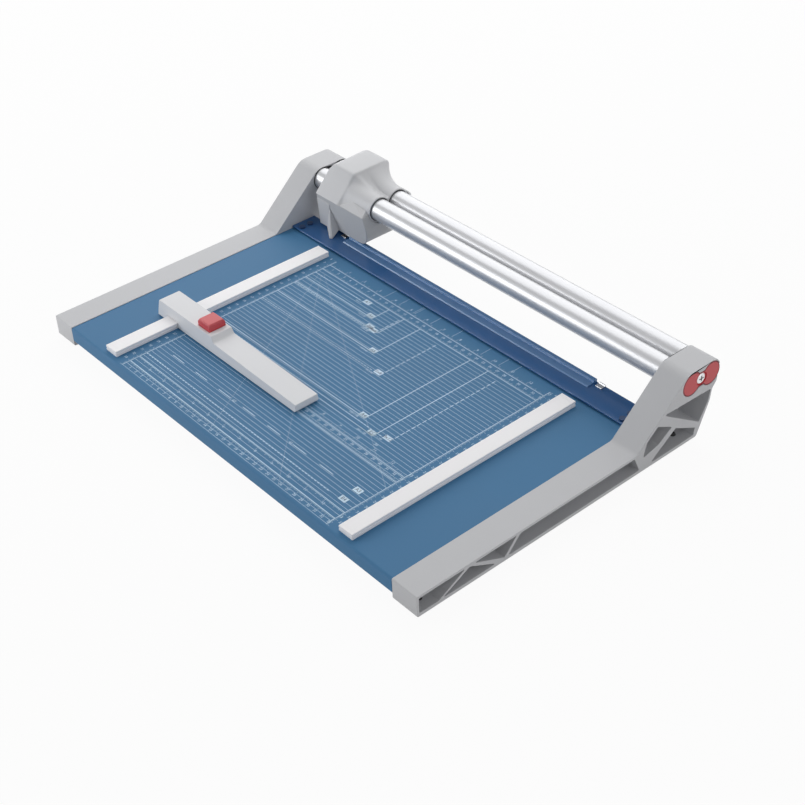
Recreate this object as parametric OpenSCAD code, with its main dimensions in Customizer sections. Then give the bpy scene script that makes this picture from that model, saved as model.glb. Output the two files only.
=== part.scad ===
// Desktop paper trimmer with a rotary blade that runs along two tubes.
// X runs along the cut, Y from the front edge to the back, Z up.
// The origin is under the middle of the machine, on the surface it stands on.

/* [Side frames] */
// Width over the two side frames
overall_w = 580; // [540:2:640]
// Thickness of each side frame across the machine
frame_w = 32; // [30:1:36]
// Height of the frame bar beside the table, without the feet
bar_h = 23.5; // [22.5:0.5:26]
// Height of the arm that holds the tubes, without the feet
arm_h = 82; // [80:1:90]
// Wall of each frame on the table side
frame_wall = 6; // [5:0.5:8]
// Skin over and in front of the outer pockets
frame_skin = 2.7; // [2:0.1:3.5]
// Flange under the outer pockets
frame_flange = 3.9; // [3:0.1:5]
// Thickness of the ribs between the pockets
rib_t = 3; // [2:0.5:4]
// Run of the arm's sloping front from the bar to its top
arm_run = 65; // [60:1:70]
// Width of the ledge that carries the table
ledge_w = 6; // [4:0.5:8]
// Thickness of the ledge
ledge_t = 5; // [3:0.5:6]

/* [Feet] */
// Height of the rubber feet
foot_h = 3; // [2:0.5:5]
// Radius of a rubber foot
foot_r = 8; // [6:0.5:10]
// Radius of a foot's stem
foot_stem_r = 2.5; // [2:0.1:3]

/* [Table] */
// Depth of the table from its front lip to the cut line
table_d = 329; // [300:1:370]
// Thickness of the table sheet
table_t = 1.5; // [1:0.1:2]
// How far the table lies below the top of the frame bars
table_drop = 0.7; // [0.2:0.1:1.5]
// Height of the lip folded down at the front
lip_h = 16; // [12:1:18]
// Depth of the front rail under the table
front_rail_d = 24; // [20:1:28]
// Wall of the hollow front rail
front_rail_wall = 2; // [1.5:0.1:3]
// Height of both rails under the table
rail_h = 14.3; // [13:0.1:16]

/* [Cutting edge] */
// Depth of the steel rail behind the table
blade_rail_d = 10; // [8:0.5:12]
// Thickness of the lower blade
lower_blade_t = 2.5; // [2:0.1:3]
// Height of the lower blade
lower_blade_h = 18; // [16:0.5:20]
// Number of screws in the lower blade
lower_blade_screws_n = 6; // [4:1:8]
// Gap between the lower blade and the rotary blade
shear_gap = 0.1; // [0.05:0.05:0.3]

/* [Guide tubes] */
// Outer radius of a guide tube
tube_r = 12.5; // [11.5:0.1:12.8]
// Wall of a guide tube
tube_wall = 1.5; // [1:0.1:2.5]
// Gap between the two tubes
tube_gap = 1.5; // [1.2:0.1:3]
// Distance of the front tube's axis behind the cut line
tube_back = 14; // [14:0.5:17]
// Distance of the tube axes below the top of the arms
tube_drop = 13.5; // [13.5:0.1:15]
// Depth of the tube bores in the arms
tube_seat = 25; // [20:0.5:25]
// Thickness of the cap over the tube ends
cap_t = 2.3; // [1.5:0.1:3]
// Height of the cap's waist between its two lobes
cap_waist = 16; // [14:0.5:18]

/* [Rulers] */
// Distance between each ruler and the side frame next to it
ruler_margin = 59.6; // [45:0.2:80]
// Width of a ruler
ruler_w = 18.4; // [16:0.1:20]
// Height of a ruler over the table
ruler_h = 6.2; // [5.5:0.1:7]
// Start of the rulers behind the front edge
ruler_start = 6.4; // [4:0.1:10]
// Distance between the rulers' rear ends and the clamp strip
ruler_room = 9; // [5:0.5:40]
// Length of a ruler's end cap
ruler_cap_l = 4; // [3:0.5:6]
// Depth of the groove along each side of a ruler
groove_d = 1; // [0.8:0.1:1.5]

/* [Clamp strip] */
// Depth of the clamp strip from front to back
strip_d = 32; // [30:0.5:34]
// Thickness of the clamp strip
strip_t = 1.8; // [1.5:0.1:2.2]
// Gap under the clamp strip for the paper
strip_lift = 1.4; // [1.2:0.1:2]
// Extra thickness of the strip's middle band
strip_band_t = 1.2; // [0.8:0.1:1.5]
// Height of the strip's rear rib over the band
strip_rib_h = 2.3; // [1:0.1:2.4]
// Distance of the ends of the band and the rib from the side frames
strip_band_in = 70; // [60:1:90]
// Radius of the posts that guide the strip
post_r = 2; // [1.5:0.1:2.5]

/* [Cutting head] */
// Gap between the parked head and the left frame
head_park = 17; // [14:0.5:25]
// Width of the head's block
head_block_w = 41; // [38:0.5:46]
// Width of the flare from the block to the right socket
head_flare_w = 42; // [38:0.5:46]
// Height of the head's top above the tube axes
head_top_h = 26.5; // [25:0.5:30]
// Distance of the head's front edge in front of the front tube's axis
head_front_d = 25; // [24:0.5:27]
// Distance of the head's back behind the rear tube's axis
head_back_d = 27; // [25:0.5:30]
// Wall of the hood and the skirt
head_wall = 2.5; // [2:0.1:3]
// Outer radius of a tube socket
socket_r = 15; // [14.9:0.1:15.2]
// Radius of the socket's mouth round each tube
mouth_r = 13.2; // [13:0.1:13.4]
// Height of the skirt's lower edge over the table
skirt_lift = 7.5; // [7.2:0.1:9]
// Length of a slide bushing
bushing_l = 16; // [12:1:18]
// Outer radius of a slide bushing
bushing_r = 14.2; // [13.9:0.1:14.4]
// Running clearance of the bushings on the tubes
slide_fit = 0.05; // [0.03:0.01:0.1]

/* [Rotary blade] */
// Distance of the rotary blade's top below the tube axes
blade_drop = 7.2; // [6.2:0.1:11.2]
// Thickness of the rotary blade
blade_t = 0.8; // [0.6:0.1:1.2]
// How far the rotary blade reaches below the table's surface
blade_reach = 1.5; // [1:0.1:2.5]
// Distance of the blade's axis from the head's left side
blade_along = 55; // [50:0.5:58]
// Radius of the blade's hub
hub_r = 7; // [6:0.5:8]
// Length of the blade's hub
hub_l = 5; // [4:0.5:6]
// Radius of the axle under the hub
axle_r = 3; // [2.5:0.1:3.5]

/* [Back stop] */
// Distance of the stop's reference face from the front edge
stop_face_y = 110.5; // [95:0.5:130]
// Depth of the stop at its foot
stop_d = 29; // [28.5:0.5:32]
// Width of the stop's block
stop_block_w = 95; // [93:0.5:100]
// Length of the stop's arm
stop_arm_l = 142; // [120:1:160]
// Height of the block's top over the table
stop_block_h = 17.2; // [16.5:0.1:19]
// Height of the arm's top beside the block, over the table
stop_arm_h = 11.6; // [10.5:0.1:13]
// Height of the arm's top at its free end, over the table
stop_end_h = 8.4; // [8:0.1:10]
// Gap between the stop and the table
stop_lift = 0.8; // [0.5:0.1:1.2]
// Wall of the stop's moulding
stop_wall = 2.4; // [2:0.1:3]
// Side of the square release button
button_w = 20.5; // [19:0.1:21]
// Height of the button's top over the block
button_h = 7.5; // [6:0.5:9]
// Travel of the release button
button_travel = 2.5; // [2:0.1:2.8]
// Sideways travel of the shoe for each unit of the button's travel
shoe_ratio = 0.2; // [0.15:0.01:0.25]

/* [Hidden] */

// Facets of round parts, and of the small rounds in drawn outlines
round_fn = 64;
arc_steps = 5;
// Overlap of cutting shapes past the faces that they cut
eps = 0.5;
// Clearance of parts that lie beside each other, and of a pin in its hole
seat_gap = 0.2;
pin_fit = 0.05;

half_w = overall_w / 2;
inner_x = half_w - frame_w;
bar_top = foot_h + bar_h;
arm_top = foot_h + arm_h;
table_top = bar_top - table_drop;
table_under = table_top - table_t;

// Cut line, tubes and arms from front to back
cut_y = table_d - shear_gap - 0.3;
tube_pitch = 2 * tube_r + tube_gap;
tube1_y = table_d + tube_back;
tube2_y = tube1_y + tube_pitch;
tube_z = arm_top - tube_drop;
tube_end = inner_x + tube_seat - seat_gap;
mid_y = (tube1_y + tube2_y) / 2;
arm_top_y = tube1_y - 7;
kink_y = arm_top_y - arm_run;
frame_back = tube2_y + 13;
foot_back = frame_back - 26;
total_d = tube2_y + head_back_d;

// Cap over the tube ends
cap_recess = cap_t + seat_gap;
cap_r = 12.5;
cap_rim = 0.3;
cap_screw_r = 2;

// Rails under the table
rail_top = table_under;
rail_bottom = rail_top - rail_h;
front_rail_y = 3;
blade_rail_back = cut_y - lower_blade_t;
blade_rail_y = blade_rail_back - blade_rail_d;
rail_screw_z = (rail_top + rail_bottom) / 2;
rail_screw_r = 2;
rail_screw_l = 18;
rail_screw_head_r = 4;
rail_screw_head_h = 2.4;
ledge_y0 = front_rail_y + front_rail_d + 1;
ledge_y1 = blade_rail_y - 1;

// Distance of the clamp strip's back edge from the cut line
strip_inset = 2.6;

// Rulers
ruler_out = inner_x - ruler_margin;
ruler_in = ruler_out - ruler_w;
ruler_end = cut_y - strip_inset - strip_d - ruler_room;
ruler_l = ruler_end - ruler_start;
groove_low = 2.2;
groove_high = 3.6;

// Clamp strip, from its back edge in front of the cut line
strip_back = cut_y - strip_inset;
strip_front = strip_back - strip_d;
strip_under = table_top + strip_lift;
strip_top = strip_under + strip_t;
band_top = strip_top + strip_band_t;
band_front = strip_back - 13;
rib_front = strip_back - 5;
strip_half = inner_x - 0.5;
strip_band_half = inner_x - strip_band_in;
strip_edge = 0.8;
post_in = 6;
post_x = inner_x - ledge_w - post_in;
post_ys = [strip_front + 5.5, strip_front + 17];
post_head_r = 3.6;
post_head_h = 1.8;
post_gap = 0.05;

// Cutting head, from its left side at rest
head_x0 = -inner_x + head_park;
crease_x = head_x0 + head_block_w;
head_x1 = crease_x + head_flare_w;
head_top = tube_z + head_top_h;
ledge_drop = 2.5;
ledge_z = tube_z - ledge_drop;
head_front = tube1_y - head_front_d;
head_slope_run = 26;
skirt_under = table_top + skirt_lift;
bushing_bore = tube_r + slide_fit;
lip_l = 4;
socket_bar = 9.5;
mouth_bar = 6.2;
flare_front = tube1_y - socket_r;

// Rotary blade
blade_x = head_x0 + blade_along;
blade_r = (tube_z - blade_drop - table_top + blade_reach) / 2;
blade_z = table_top + blade_r - blade_reach;
blade_y0 = cut_y + shear_gap;
blade_y1 = blade_y0 + blade_t;
hub_y0 = blade_y0 - 1.7;
hub_y1 = hub_y0 + hub_l;
axle_head_y = hub_y0 - 0.3;
axle_head_t = 2.2;
axle_head_r = 5;
carrier_front = hub_y1 + 6.2;
carrier_top = tube_z - socket_r - 1;
carrier_under = skirt_under + 3.5;
carrier_half = 20;
axle_seat = 12;

// Back stop, from its left side over the left ruler
stop_side = 17.6;
stop_x0 = -ruler_out - stop_side;
stop_x1 = stop_x0 + stop_block_w;
stop_x2 = stop_x1 + stop_arm_l;
stop_under = table_top + stop_lift;
stop_block_top = table_top + stop_block_h;
stop_front = stop_face_y - stop_d;
stop_lean = 3.5;
notch_gap = 0.3;
button_in = 17.5;
button_back = 1.8;
button_x = stop_x1 - button_in;
button_y = stop_face_y - button_back - button_w / 2;
button_gap = 0.3;
well_floor = table_top + 7.2;
floor_t = 2;
button_skirt = well_floor + button_travel + 1;
button_top = stop_block_top + button_h;
button_wall = 2;
stem_r = 3;
stem_under = table_top + button_travel + 0.7;
shoe_y0 = button_y - 5;
shoe_y1 = button_y + 5;
shoe_under = table_top + 2.2;
shoe_top = well_floor - floor_t - 0.3;
shoe_x0 = -ruler_in + 0.1;
shoe_x1 = button_x + 7;
stem_flat = 2;
stem_flat_top = shoe_top + button_travel + 0.3;
cover_t = 0.5;
cover_gap = 0.05;

// Arc of radius r that rounds the corner b between the points a and c.
function unit(v) = v / norm(v);
function turn(d) = d > 180 ? d - 360 : d < -180 ? d + 360 : d;
function fillet(a, b, c, r) =
    let (u = unit(a - b), w = unit(c - b), half = acos(u * w) / 2,
        mid = b + unit(u + w) * r / sin(half),
        p = b + u * r / tan(half) - mid, q = b + w * r / tan(half) - mid,
        from = atan2(p[1], p[0]), sweep = turn(atan2(q[1], q[0]) - from))
    [for (i = [0:arc_steps]) mid + r * [cos(from + sweep * i / arc_steps), sin(from + sweep * i / arc_steps)]];

// Outline through points [u, v, r], with each corner rounded by its own r.
function flat(p) = [p[0], p[1]];
function rounded(pts) = [for (i = [0:len(pts) - 1])
    let (n = len(pts), a = pts[(i + n - 1) % n], b = pts[i], c = pts[(i + 1) % n])
    each b[2] > 0 ? fillet(flat(a), flat(b), flat(c), b[2]) : [flat(b)]];

// Points of a coil of the given radius, rise and number of turns.
coil_steps = 12;
function coil(r, rise, turns) = [for (i = [0:turns * coil_steps])
    let (a = 360 * i / coil_steps) [r * cos(a), r * sin(a), rise * i / (turns * coil_steps)]];

// Everything is drawn with Y from the front edge, then centred.
module placed() {
    translate([0, -total_d / 2, 0])
        children();
}

module block(lo, hi) {
    translate(lo)
        cube(hi - lo);
}

module along_x(x0, x1) {
    translate([x0, 0, 0])
        rotate([90, 0, 90])
            linear_extrude(x1 - x0)
                children();
}

module along_y(y0, y1) {
    translate([0, y1, 0])
        rotate([90, 0, 0])
            linear_extrude(y1 - y0)
                children();
}

module rod_x(x0, x1, y, z, r) {
    translate([x0, y, z])
        rotate([0, 90, 0])
            cylinder(h = x1 - x0, r = r, $fn = round_fn);
}

module rod_y(y0, y1, x, z, r) {
    translate([x, y0, z])
        rotate([-90, 0, 0])
            cylinder(h = y1 - y0, r = r, $fn = round_fn);
}

module rod_z(z0, z1, x, y, r) {
    translate([x, y, z0])
        cylinder(h = z1 - z0, r = r, $fn = round_fn);
}

module both_sides() {
    children();
    mirror([1, 0, 0])
        children();
}

// Screw with its head above the origin and its shank below.
module screw(head_r, head_h, shank_r, shank_l) {
    edge = head_h * 0.45;
    difference() {
        rotate_extrude($fn = round_fn)
            polygon([[0, 0], [head_r, 0], [head_r, edge], [head_r * 0.85, head_h * 0.8], [head_r * 0.5, head_h],
                [0, head_h]]);
        for (a = [0, 90])
            rotate(a)
                block([-head_r * 0.6, -head_r * 0.13, head_h * 0.4], [head_r * 0.6, head_r * 0.13, head_h + eps]);
    }
    translate([0, 0, -shank_l])
        cylinder(h = shank_l, r = shank_r, $fn = 32);
}

// Round wire swept along a list of points, with six sides.
wire_sides = 6;
module wire(path, r) {
    n = len(path);
    ring = [for (i = [0:n - 1])
        let (t = unit(path[min(i + 1, n - 1)] - path[max(i - 1, 0)]), u = unit(cross(t, [0, 0, 1])), v = cross(t, u))
        for (k = [0:wire_sides - 1]) let (a = 360 * k / wire_sides) path[i] + r * (cos(a) * u + sin(a) * v)];
    sides = [for (i = [0:n - 2]) for (k = [0:wire_sides - 1])
        let (p = i * wire_sides, j = (k + 1) % wire_sides)
        each [[p + k, p + wire_sides + j, p + j], [p + k, p + wire_sides + k, p + wire_sides + j]]];
    first = [for (k = [1:wire_sides - 2]) [0, k, k + 1]];
    far = (n - 1) * wire_sides;
    last = [for (k = [1:wire_sides - 2]) [far, far + k + 1, far + k]];
    polyhedron(ring, concat(sides, first, last));
}

// Table: a painted sheet with its front edge folded down.
table_bend = 2.4;
module table_plate() {
    color("steelblue")
        placed()
            difference() {
                along_x(-inner_x + seat_gap, inner_x - seat_gap)
                    polygon(rounded([[0, table_top, table_bend], [0, table_top - lip_h, 0.4],
                        [table_t, table_top - lip_h, 0.4], [table_t, table_under, table_bend - table_t],
                        [blade_rail_back, table_under, 0], [blade_rail_back, table_top, 0]]));
                both_sides() {
                    for (y = post_ys)
                        rod_z(table_under - eps, table_top + eps, post_x, y, post_r + pin_fit);
                    for (y = ruler_screw_ys)
                        rod_z(table_under - eps, table_top + eps, ruler_mid, y, ruler_screw_r + pin_fit);
                    for (y = table_screw_ys)
                        rod_z(table_under - eps, table_top - table_t / 2, table_screw_x, y, table_screw_r + pin_fit);
                }
            }
}

// Side frame: a ribbed moulding with a bar beside the table and an arm for the tubes.
// Outline of the whole frame, and of each pocket in its outer side.
frame_outline = [[0, foot_h, 2], [0, bar_top, 1.2], [kink_y, bar_top, 9], [arm_top_y, arm_top, 18],
    [frame_back, arm_top, 9], [tube2_y + 9.8, tube_z - 13.5, 4], [tube2_y + 4.5, tube_z - 20, 4],
    [tube2_y + 2.5, tube_z - 33, 6], [foot_back, foot_h, 3]];
pocket_low = foot_h + frame_flange;
pocket_high = bar_top - frame_skin;
rib_feet = [27, 93.5, 104];
rib_heads = [58, 63.5, 119];
rib_side = rib_t * 0.8;
front_pockets = [
    [[frame_skin, pocket_low, 1], [frame_skin, pocket_high, 1], [rib_heads[0] - rib_side, pocket_high, 0.6],
        [rib_feet[0] - rib_side, pocket_low, 0.6]],
    [[rib_feet[0] + rib_side, pocket_low, 0.6], [(rib_heads[0] + rib_heads[1]) / 2, pocket_high - 1, 0.8],
        [rib_feet[1] - rib_side, pocket_low, 0.6]],
    [[rib_heads[1] + rib_side, pocket_high, 0.6], [rib_heads[2] - rib_side, pocket_high, 0.6],
        [(rib_feet[1] + rib_feet[2]) / 2 + 3, pocket_low + 0.6, 0.8]],
    [[rib_feet[2] + rib_side, pocket_low, 1], [rib_heads[2] + rib_side, pocket_high, 4],
        [kink_y - 3, pocket_high, 2], [kink_y + 4.6, pocket_low, 1]]];
arm_pockets = [
    [[kink_y + 9, bar_top - 8, 1.5], [kink_y + 13.4, bar_top + 8, 1.5], [kink_y + 27, bar_top + 19, 1.5],
        [kink_y + 47.6, bar_top + 8.4, 1], [kink_y + 30, bar_top - 3, 1.5]],
    [[kink_y + 20, pocket_low, 1], [kink_y + 53, bar_top + 3.5, 1], [foot_back - 3, foot_h + 12, 1],
        [foot_back - 4.5, pocket_low, 1]],
    [[kink_y + 35, tube_z - 17, 1], [tube2_y + 2.5, tube_z - 19.6, 1.5], [tube2_y - 0.3, tube_z - 33, 3],
        [foot_back + 2, foot_h + 16.5, 1]]];
foot_xs = inner_x + frame_w * 0.55;
foot_ys = [14, foot_back - 18];
ledge_corner = 1;
arm_x0 = inner_x - ledge_w;
table_screw_x = inner_x - ledge_w / 2;
table_screw_r = 1.6;
table_screw_head_r = 2.9;
table_screw_head_h = 1.8;
table_screw_front = 12;
table_screw_rear = 48;
table_screw_ys = [for (i = [0:3])
    ledge_y0 + table_screw_front + i * (ledge_y1 - ledge_y0 - table_screw_front - table_screw_rear) / 3];
module side_frame() {
    difference() {
        union() {
            along_x(inner_x, half_w)
                polygon(rounded(frame_outline));
            along_x(arm_x0, inner_x + eps)
                polygon(rounded([[ledge_y0, table_under, 0], [ledge_y0, table_under - ledge_t, ledge_corner],
                    [ledge_y1, table_under - ledge_t, ledge_corner], [ledge_y1, table_under, 0]]));
        }
        for (pocket = concat(front_pockets, arm_pockets))
            along_x(inner_x + frame_wall, half_w + eps)
                polygon(rounded(pocket));
        for (y = [tube1_y, tube2_y]) {
            rod_x(inner_x - eps, inner_x + tube_seat, y, tube_z, tube_r + pin_fit);
            rod_x(inner_x - eps, inner_x + ring_seat, y, tube_z, ring_r + pin_fit);
        }
        along_x(half_w - cap_recess, half_w + eps)
            cap_shape(cap_rim);
        rod_x(half_w - cap_recess - cap_screw_seat, half_w, mid_y, tube_z, cap_screw_r + pin_fit);
        for (y = rail_screw_ys)
            rod_x(inner_x - eps, inner_x + frame_wall + eps, y, rail_screw_z, rail_screw_r + pin_fit);
        for (y = foot_ys)
            rod_z(foot_h - eps, pocket_low + eps, foot_xs, y, foot_stem_r + pin_fit);
        for (y = table_screw_ys)
            rod_z(table_under - ledge_t - eps, table_under + eps, table_screw_x, y, table_screw_r + pin_fit);
    }
}

module side_frame_left() {
    color("lightgray")
        placed()
            mirror([1, 0, 0])
                side_frame();
}

module side_frame_right() {
    color("lightgray")
        placed()
            side_frame();
}

// Front rail: a hollow aluminium section under the front of the table.
rail_boss_r = 4.5;
rail_screw_ys = [front_rail_y + front_rail_d / 2, blade_rail_y + blade_rail_d / 2];
module front_rail() {
    color("silver")
        placed()
            difference() {
                along_x(-inner_x, inner_x)
                    union() {
                        difference() {
                            translate([front_rail_y, rail_bottom])
                                square([front_rail_d, rail_h]);
                            translate([front_rail_y + front_rail_wall, rail_bottom + front_rail_wall])
                                square([front_rail_d - 2 * front_rail_wall, rail_h - 2 * front_rail_wall]);
                        }
                        translate([rail_screw_ys[0], rail_screw_z])
                            circle(r = rail_boss_r, $fn = round_fn);
                        translate([rail_screw_ys[0] - front_rail_wall / 2, rail_bottom + 0.1])
                            square([front_rail_wall, rail_h - 0.2]);
                    }
                both_sides()
                    rod_x(inner_x - rail_screw_l, inner_x + eps, rail_screw_ys[0], rail_screw_z, rail_screw_r + pin_fit);
            }
}

// Blade rail: a steel bar that carries the back of the table and the lower blade.
blade_screw_z = rail_screw_z;
blade_screw_r = 1.5;
blade_screw_l = 7;
blade_screw_head = 1.6;
blade_screw_xs = [for (i = [0:lower_blade_screws_n - 1])
    (i / (lower_blade_screws_n - 1) - 0.5) * 2 * (inner_x - 40)];
module blade_rail() {
    color("dimgray")
        placed()
            difference() {
                block([-inner_x, blade_rail_y, rail_bottom], [inner_x, blade_rail_back, rail_top]);
                both_sides()
                    rod_x(inner_x - rail_screw_l, inner_x + eps, rail_screw_ys[1], rail_screw_z,
                        rail_screw_r + pin_fit);
                for (x = blade_screw_xs)
                    rod_y(blade_rail_back - blade_screw_l, blade_rail_back + eps, x, blade_screw_z,
                        blade_screw_r + pin_fit);
            }
}

// Lower blade: a hardened strip whose top edge lies flush with the table.
blade_bevel = 0.8;
module lower_blade() {
    color("gainsboro")
        placed()
            difference() {
                along_x(-inner_x + seat_gap, inner_x - seat_gap)
                    polygon([[blade_rail_back, table_top - lower_blade_h], [cut_y - blade_bevel, table_top - lower_blade_h],
                        [cut_y, table_top - lower_blade_h + blade_bevel], [cut_y, table_top], [blade_rail_back, table_top]]);
                for (x = blade_screw_xs) {
                    rod_y(blade_rail_back - eps, cut_y + eps, x, blade_screw_z, blade_screw_r + pin_fit);
                    rod_y(cut_y - blade_screw_head - 0.1, cut_y + eps, x, blade_screw_z, blade_screw_r * 2 + pin_fit);
                }
            }
}

module lower_blade_screws() {
    color("darkgray")
        placed()
            for (x = blade_screw_xs)
                translate([x, cut_y - blade_screw_head - 0.1, blade_screw_z])
                    rotate([-90, 0, 0])
                        screw(blade_screw_r * 2, blade_screw_head, blade_screw_r,
                            cut_y - blade_rail_back + blade_screw_l - blade_screw_head - 0.3);
}

// Guide tubes: two steel tubes that end in blind bores in the arms.
module guide_tube(y) {
    color("whitesmoke")
        placed()
            difference() {
                rod_x(-tube_end, tube_end, y, tube_z, tube_r);
                rod_x(-tube_end - eps, tube_end + eps, y, tube_z, tube_r - tube_wall);
            }
}

module guide_tube_front() {
    guide_tube(tube1_y);
}

module guide_tube_rear() {
    guide_tube(tube2_y);
}

// Tube rings: dark rings round the tubes where they enter the arms.
ring_r = 13.1;
ring_seat = 1.6;
ring_stand = 0.4;
module tube_rings() {
    color("black")
        placed()
            both_sides()
                for (y = [tube1_y, tube2_y])
                    difference() {
                        rod_x(inner_x - ring_stand, inner_x + ring_seat, y, tube_z, ring_r);
                        rod_x(inner_x - ring_stand - eps, inner_x + ring_seat + eps, y, tube_z, tube_r + pin_fit);
                    }
}

// Tube caps: red covers of two lobes and a waist, let into the arms' outer faces.
cap_screw_seat = 4;
cap_screw_head_r = 5.5;
cap_screw_head_h = 1.2;
cap_well_r = 7.2;
cap_well = 1.4;
module cap_shape(extra) {
    for (y = [tube1_y, tube2_y])
        translate([y, tube_z])
            circle(r = cap_r + extra, $fn = round_fn);
    translate([tube1_y, tube_z - cap_waist / 2 - extra])
        square([tube_pitch, cap_waist + 2 * extra]);
}

module tube_cap() {
    difference() {
        along_x(half_w - cap_recess, half_w - cap_recess + cap_t)
            cap_shape(0);
        rod_x(half_w - cap_recess - eps, half_w, mid_y, tube_z, cap_screw_r + pin_fit);
        rod_x(half_w - cap_recess + cap_t - cap_well, half_w, mid_y, tube_z, cap_well_r);
    }
}

module tube_cap_left() {
    color("indianred")
        placed()
            mirror([1, 0, 0])
                tube_cap();
}

module tube_cap_right() {
    color("indianred")
        placed()
            tube_cap();
}

module cap_screws() {
    color("silver")
        placed()
            both_sides()
                translate([half_w - cap_recess + cap_t - cap_well, mid_y, tube_z])
                    rotate([0, 90, 0])
                        screw(cap_screw_head_r, cap_screw_head_h, cap_screw_r, cap_screw_seat + cap_t - cap_well - 0.3);
}

// Rulers: grooved bars screwed on the table along both sides.
ruler_mid = (ruler_in + ruler_out) / 2;
ruler_screw_r = 1.5;
ruler_screw_head_r = 3;
ruler_screw_head_h = 1.8;
ruler_screw_l = 5;
ruler_screw_in = 35;
ruler_screw_ys = [for (i = [0:2]) ruler_start + ruler_screw_in + i * (ruler_l / 2 - ruler_screw_in)];
ruler_edge = 0.5;
module ruler_section() {
    polygon(rounded([[ruler_in, table_top, 0], [ruler_in, table_top + groove_low, 0],
        [ruler_in + groove_d, table_top + groove_low, 0], [ruler_in + groove_d, table_top + groove_high, 0],
        [ruler_in, table_top + groove_high, 0], [ruler_in, table_top + ruler_h, ruler_edge],
        [ruler_out, table_top + ruler_h, ruler_edge], [ruler_out, table_top + groove_high, 0],
        [ruler_out - groove_d, table_top + groove_high, 0], [ruler_out - groove_d, table_top + groove_low, 0],
        [ruler_out, table_top + groove_low, 0], [ruler_out, table_top, 0]]));
}

cap_pin_r = 1;
cap_pin_l = 4;
cap_pin_z = table_top + ruler_h / 2;
module ruler() {
    difference() {
        along_y(ruler_start + ruler_cap_l, ruler_end - ruler_cap_l)
            ruler_section();
        for (y = ruler_screw_ys)
            rod_z(table_top - eps, table_top + ruler_screw_l, ruler_mid, y, ruler_screw_r + pin_fit);
        for (y = [ruler_start + ruler_cap_l - eps, ruler_end - ruler_cap_l - cap_pin_l - 0.1])
            for (side = [-1, 1])
                rod_y(y, y + cap_pin_l + 0.1 + eps, ruler_mid + side * ruler_w / 4, cap_pin_z, cap_pin_r + pin_fit);
    }
}

module ruler_left() {
    color("white")
        placed()
            mirror([1, 0, 0])
                ruler();
}

module ruler_right() {
    color("white")
        placed()
            ruler();
}

module ruler_end_caps() {
    color("white")
        placed()
            both_sides()
                for (end = [0, 1])
                    translate([0, end * (ruler_l - ruler_cap_l), 0]) {
                        along_y(ruler_start, ruler_start + ruler_cap_l)
                            ruler_section();
                        for (side = [-1, 1])
                            rod_y(ruler_start + (end == 0 ? ruler_cap_l : -cap_pin_l),
                                ruler_start + (end == 0 ? ruler_cap_l + cap_pin_l : 0),
                                ruler_mid + side * ruler_w / 4, cap_pin_z, cap_pin_r);
                    }
}

module ruler_screws() {
    color("darkgray")
        placed()
            both_sides()
                for (y = ruler_screw_ys)
                    translate([ruler_mid, y, table_under])
                        rotate([180, 0, 0])
                            screw(ruler_screw_head_r, ruler_screw_head_h, ruler_screw_r, table_t + ruler_screw_l - 0.5);
}

// Feet: rubber buttons whose stems are pushed through the frames' lower flanges.
module rubber_feet() {
    color("black")
        placed()
            both_sides()
                for (y = foot_ys)
                    translate([foot_xs, y, 0])
                        rotate_extrude($fn = round_fn)
                            polygon([[0, 0], [foot_r - 0.8, 0], [foot_r, 0.8], [foot_r, foot_h], [foot_stem_r, foot_h],
                                [foot_stem_r, pocket_low], [foot_stem_r + 0.8, pocket_low], [foot_stem_r - 0.6, pocket_low + 2.5],
                                [0, pocket_low + 2.5]]);
}

// Frame screws: they hold the ends of both rails to the frames, from inside the pockets.
module frame_screws() {
    color("darkgray")
        placed()
            both_sides()
                for (y = rail_screw_ys)
                    translate([inner_x + frame_wall, y, rail_screw_z])
                        rotate([0, 90, 0])
                            screw(rail_screw_head_r, rail_screw_head_h, rail_screw_r, frame_wall + rail_screw_l - 1);
}

// Table screws: they hold the sheet to the frames' ledges from below.
module table_screws() {
    color("darkgray")
        placed()
            both_sides()
                for (y = table_screw_ys)
                    translate([table_screw_x, y, table_under - ledge_t])
                        rotate([180, 0, 0])
                            screw(table_screw_head_r, table_screw_head_h, table_screw_r, ledge_t + table_t / 2 - 0.1);
}

// Strip posts: riveted pins that guide the clamp strip and stop it at the top.
module strip_posts() {
    color("silver")
        placed()
            both_sides()
                for (y = post_ys) {
                    rod_z(table_under - 1, strip_top + post_gap + post_head_h, post_x, y, post_r);
                    rod_z(table_under - 1, table_under, post_x, y, post_head_r);
                    rod_z(strip_top + post_gap, strip_top + post_gap + post_head_h, post_x, y, post_head_r);
                }
}

// Strip springs: wave washers round the posts that lift the strip off the paper.
wave_steps = 36;
wave_count = 3;
wave_t = 0.25;
wave_in = post_r + 0.3;
wave_out = post_r + 2.2;
module wave_washer() {
    swing = (strip_lift - wave_t - 2 * post_gap) / 2;
    ring = [for (i = [0:wave_steps - 1])
        let (a = 360 * i / wave_steps, z = swing * (1 + cos(a * wave_count)) + post_gap)
        each [[wave_in * cos(a), wave_in * sin(a), z], [wave_out * cos(a), wave_out * sin(a), z],
            [wave_out * cos(a), wave_out * sin(a), z + wave_t], [wave_in * cos(a), wave_in * sin(a), z + wave_t]]];
    faces = [for (i = [0:wave_steps - 1]) for (k = [0:3])
        let (p = i * 4, q = ((i + 1) % wave_steps) * 4, j = (k + 1) % 4)
        each [[p + k, p + j, q + j], [p + k, q + j, q + k]]];
    polyhedron(ring, faces);
}

module strip_springs() {
    color("silver")
        placed()
            both_sides()
                for (y = post_ys)
                    translate([post_x, y, table_top])
                        wave_washer();
}

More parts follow.
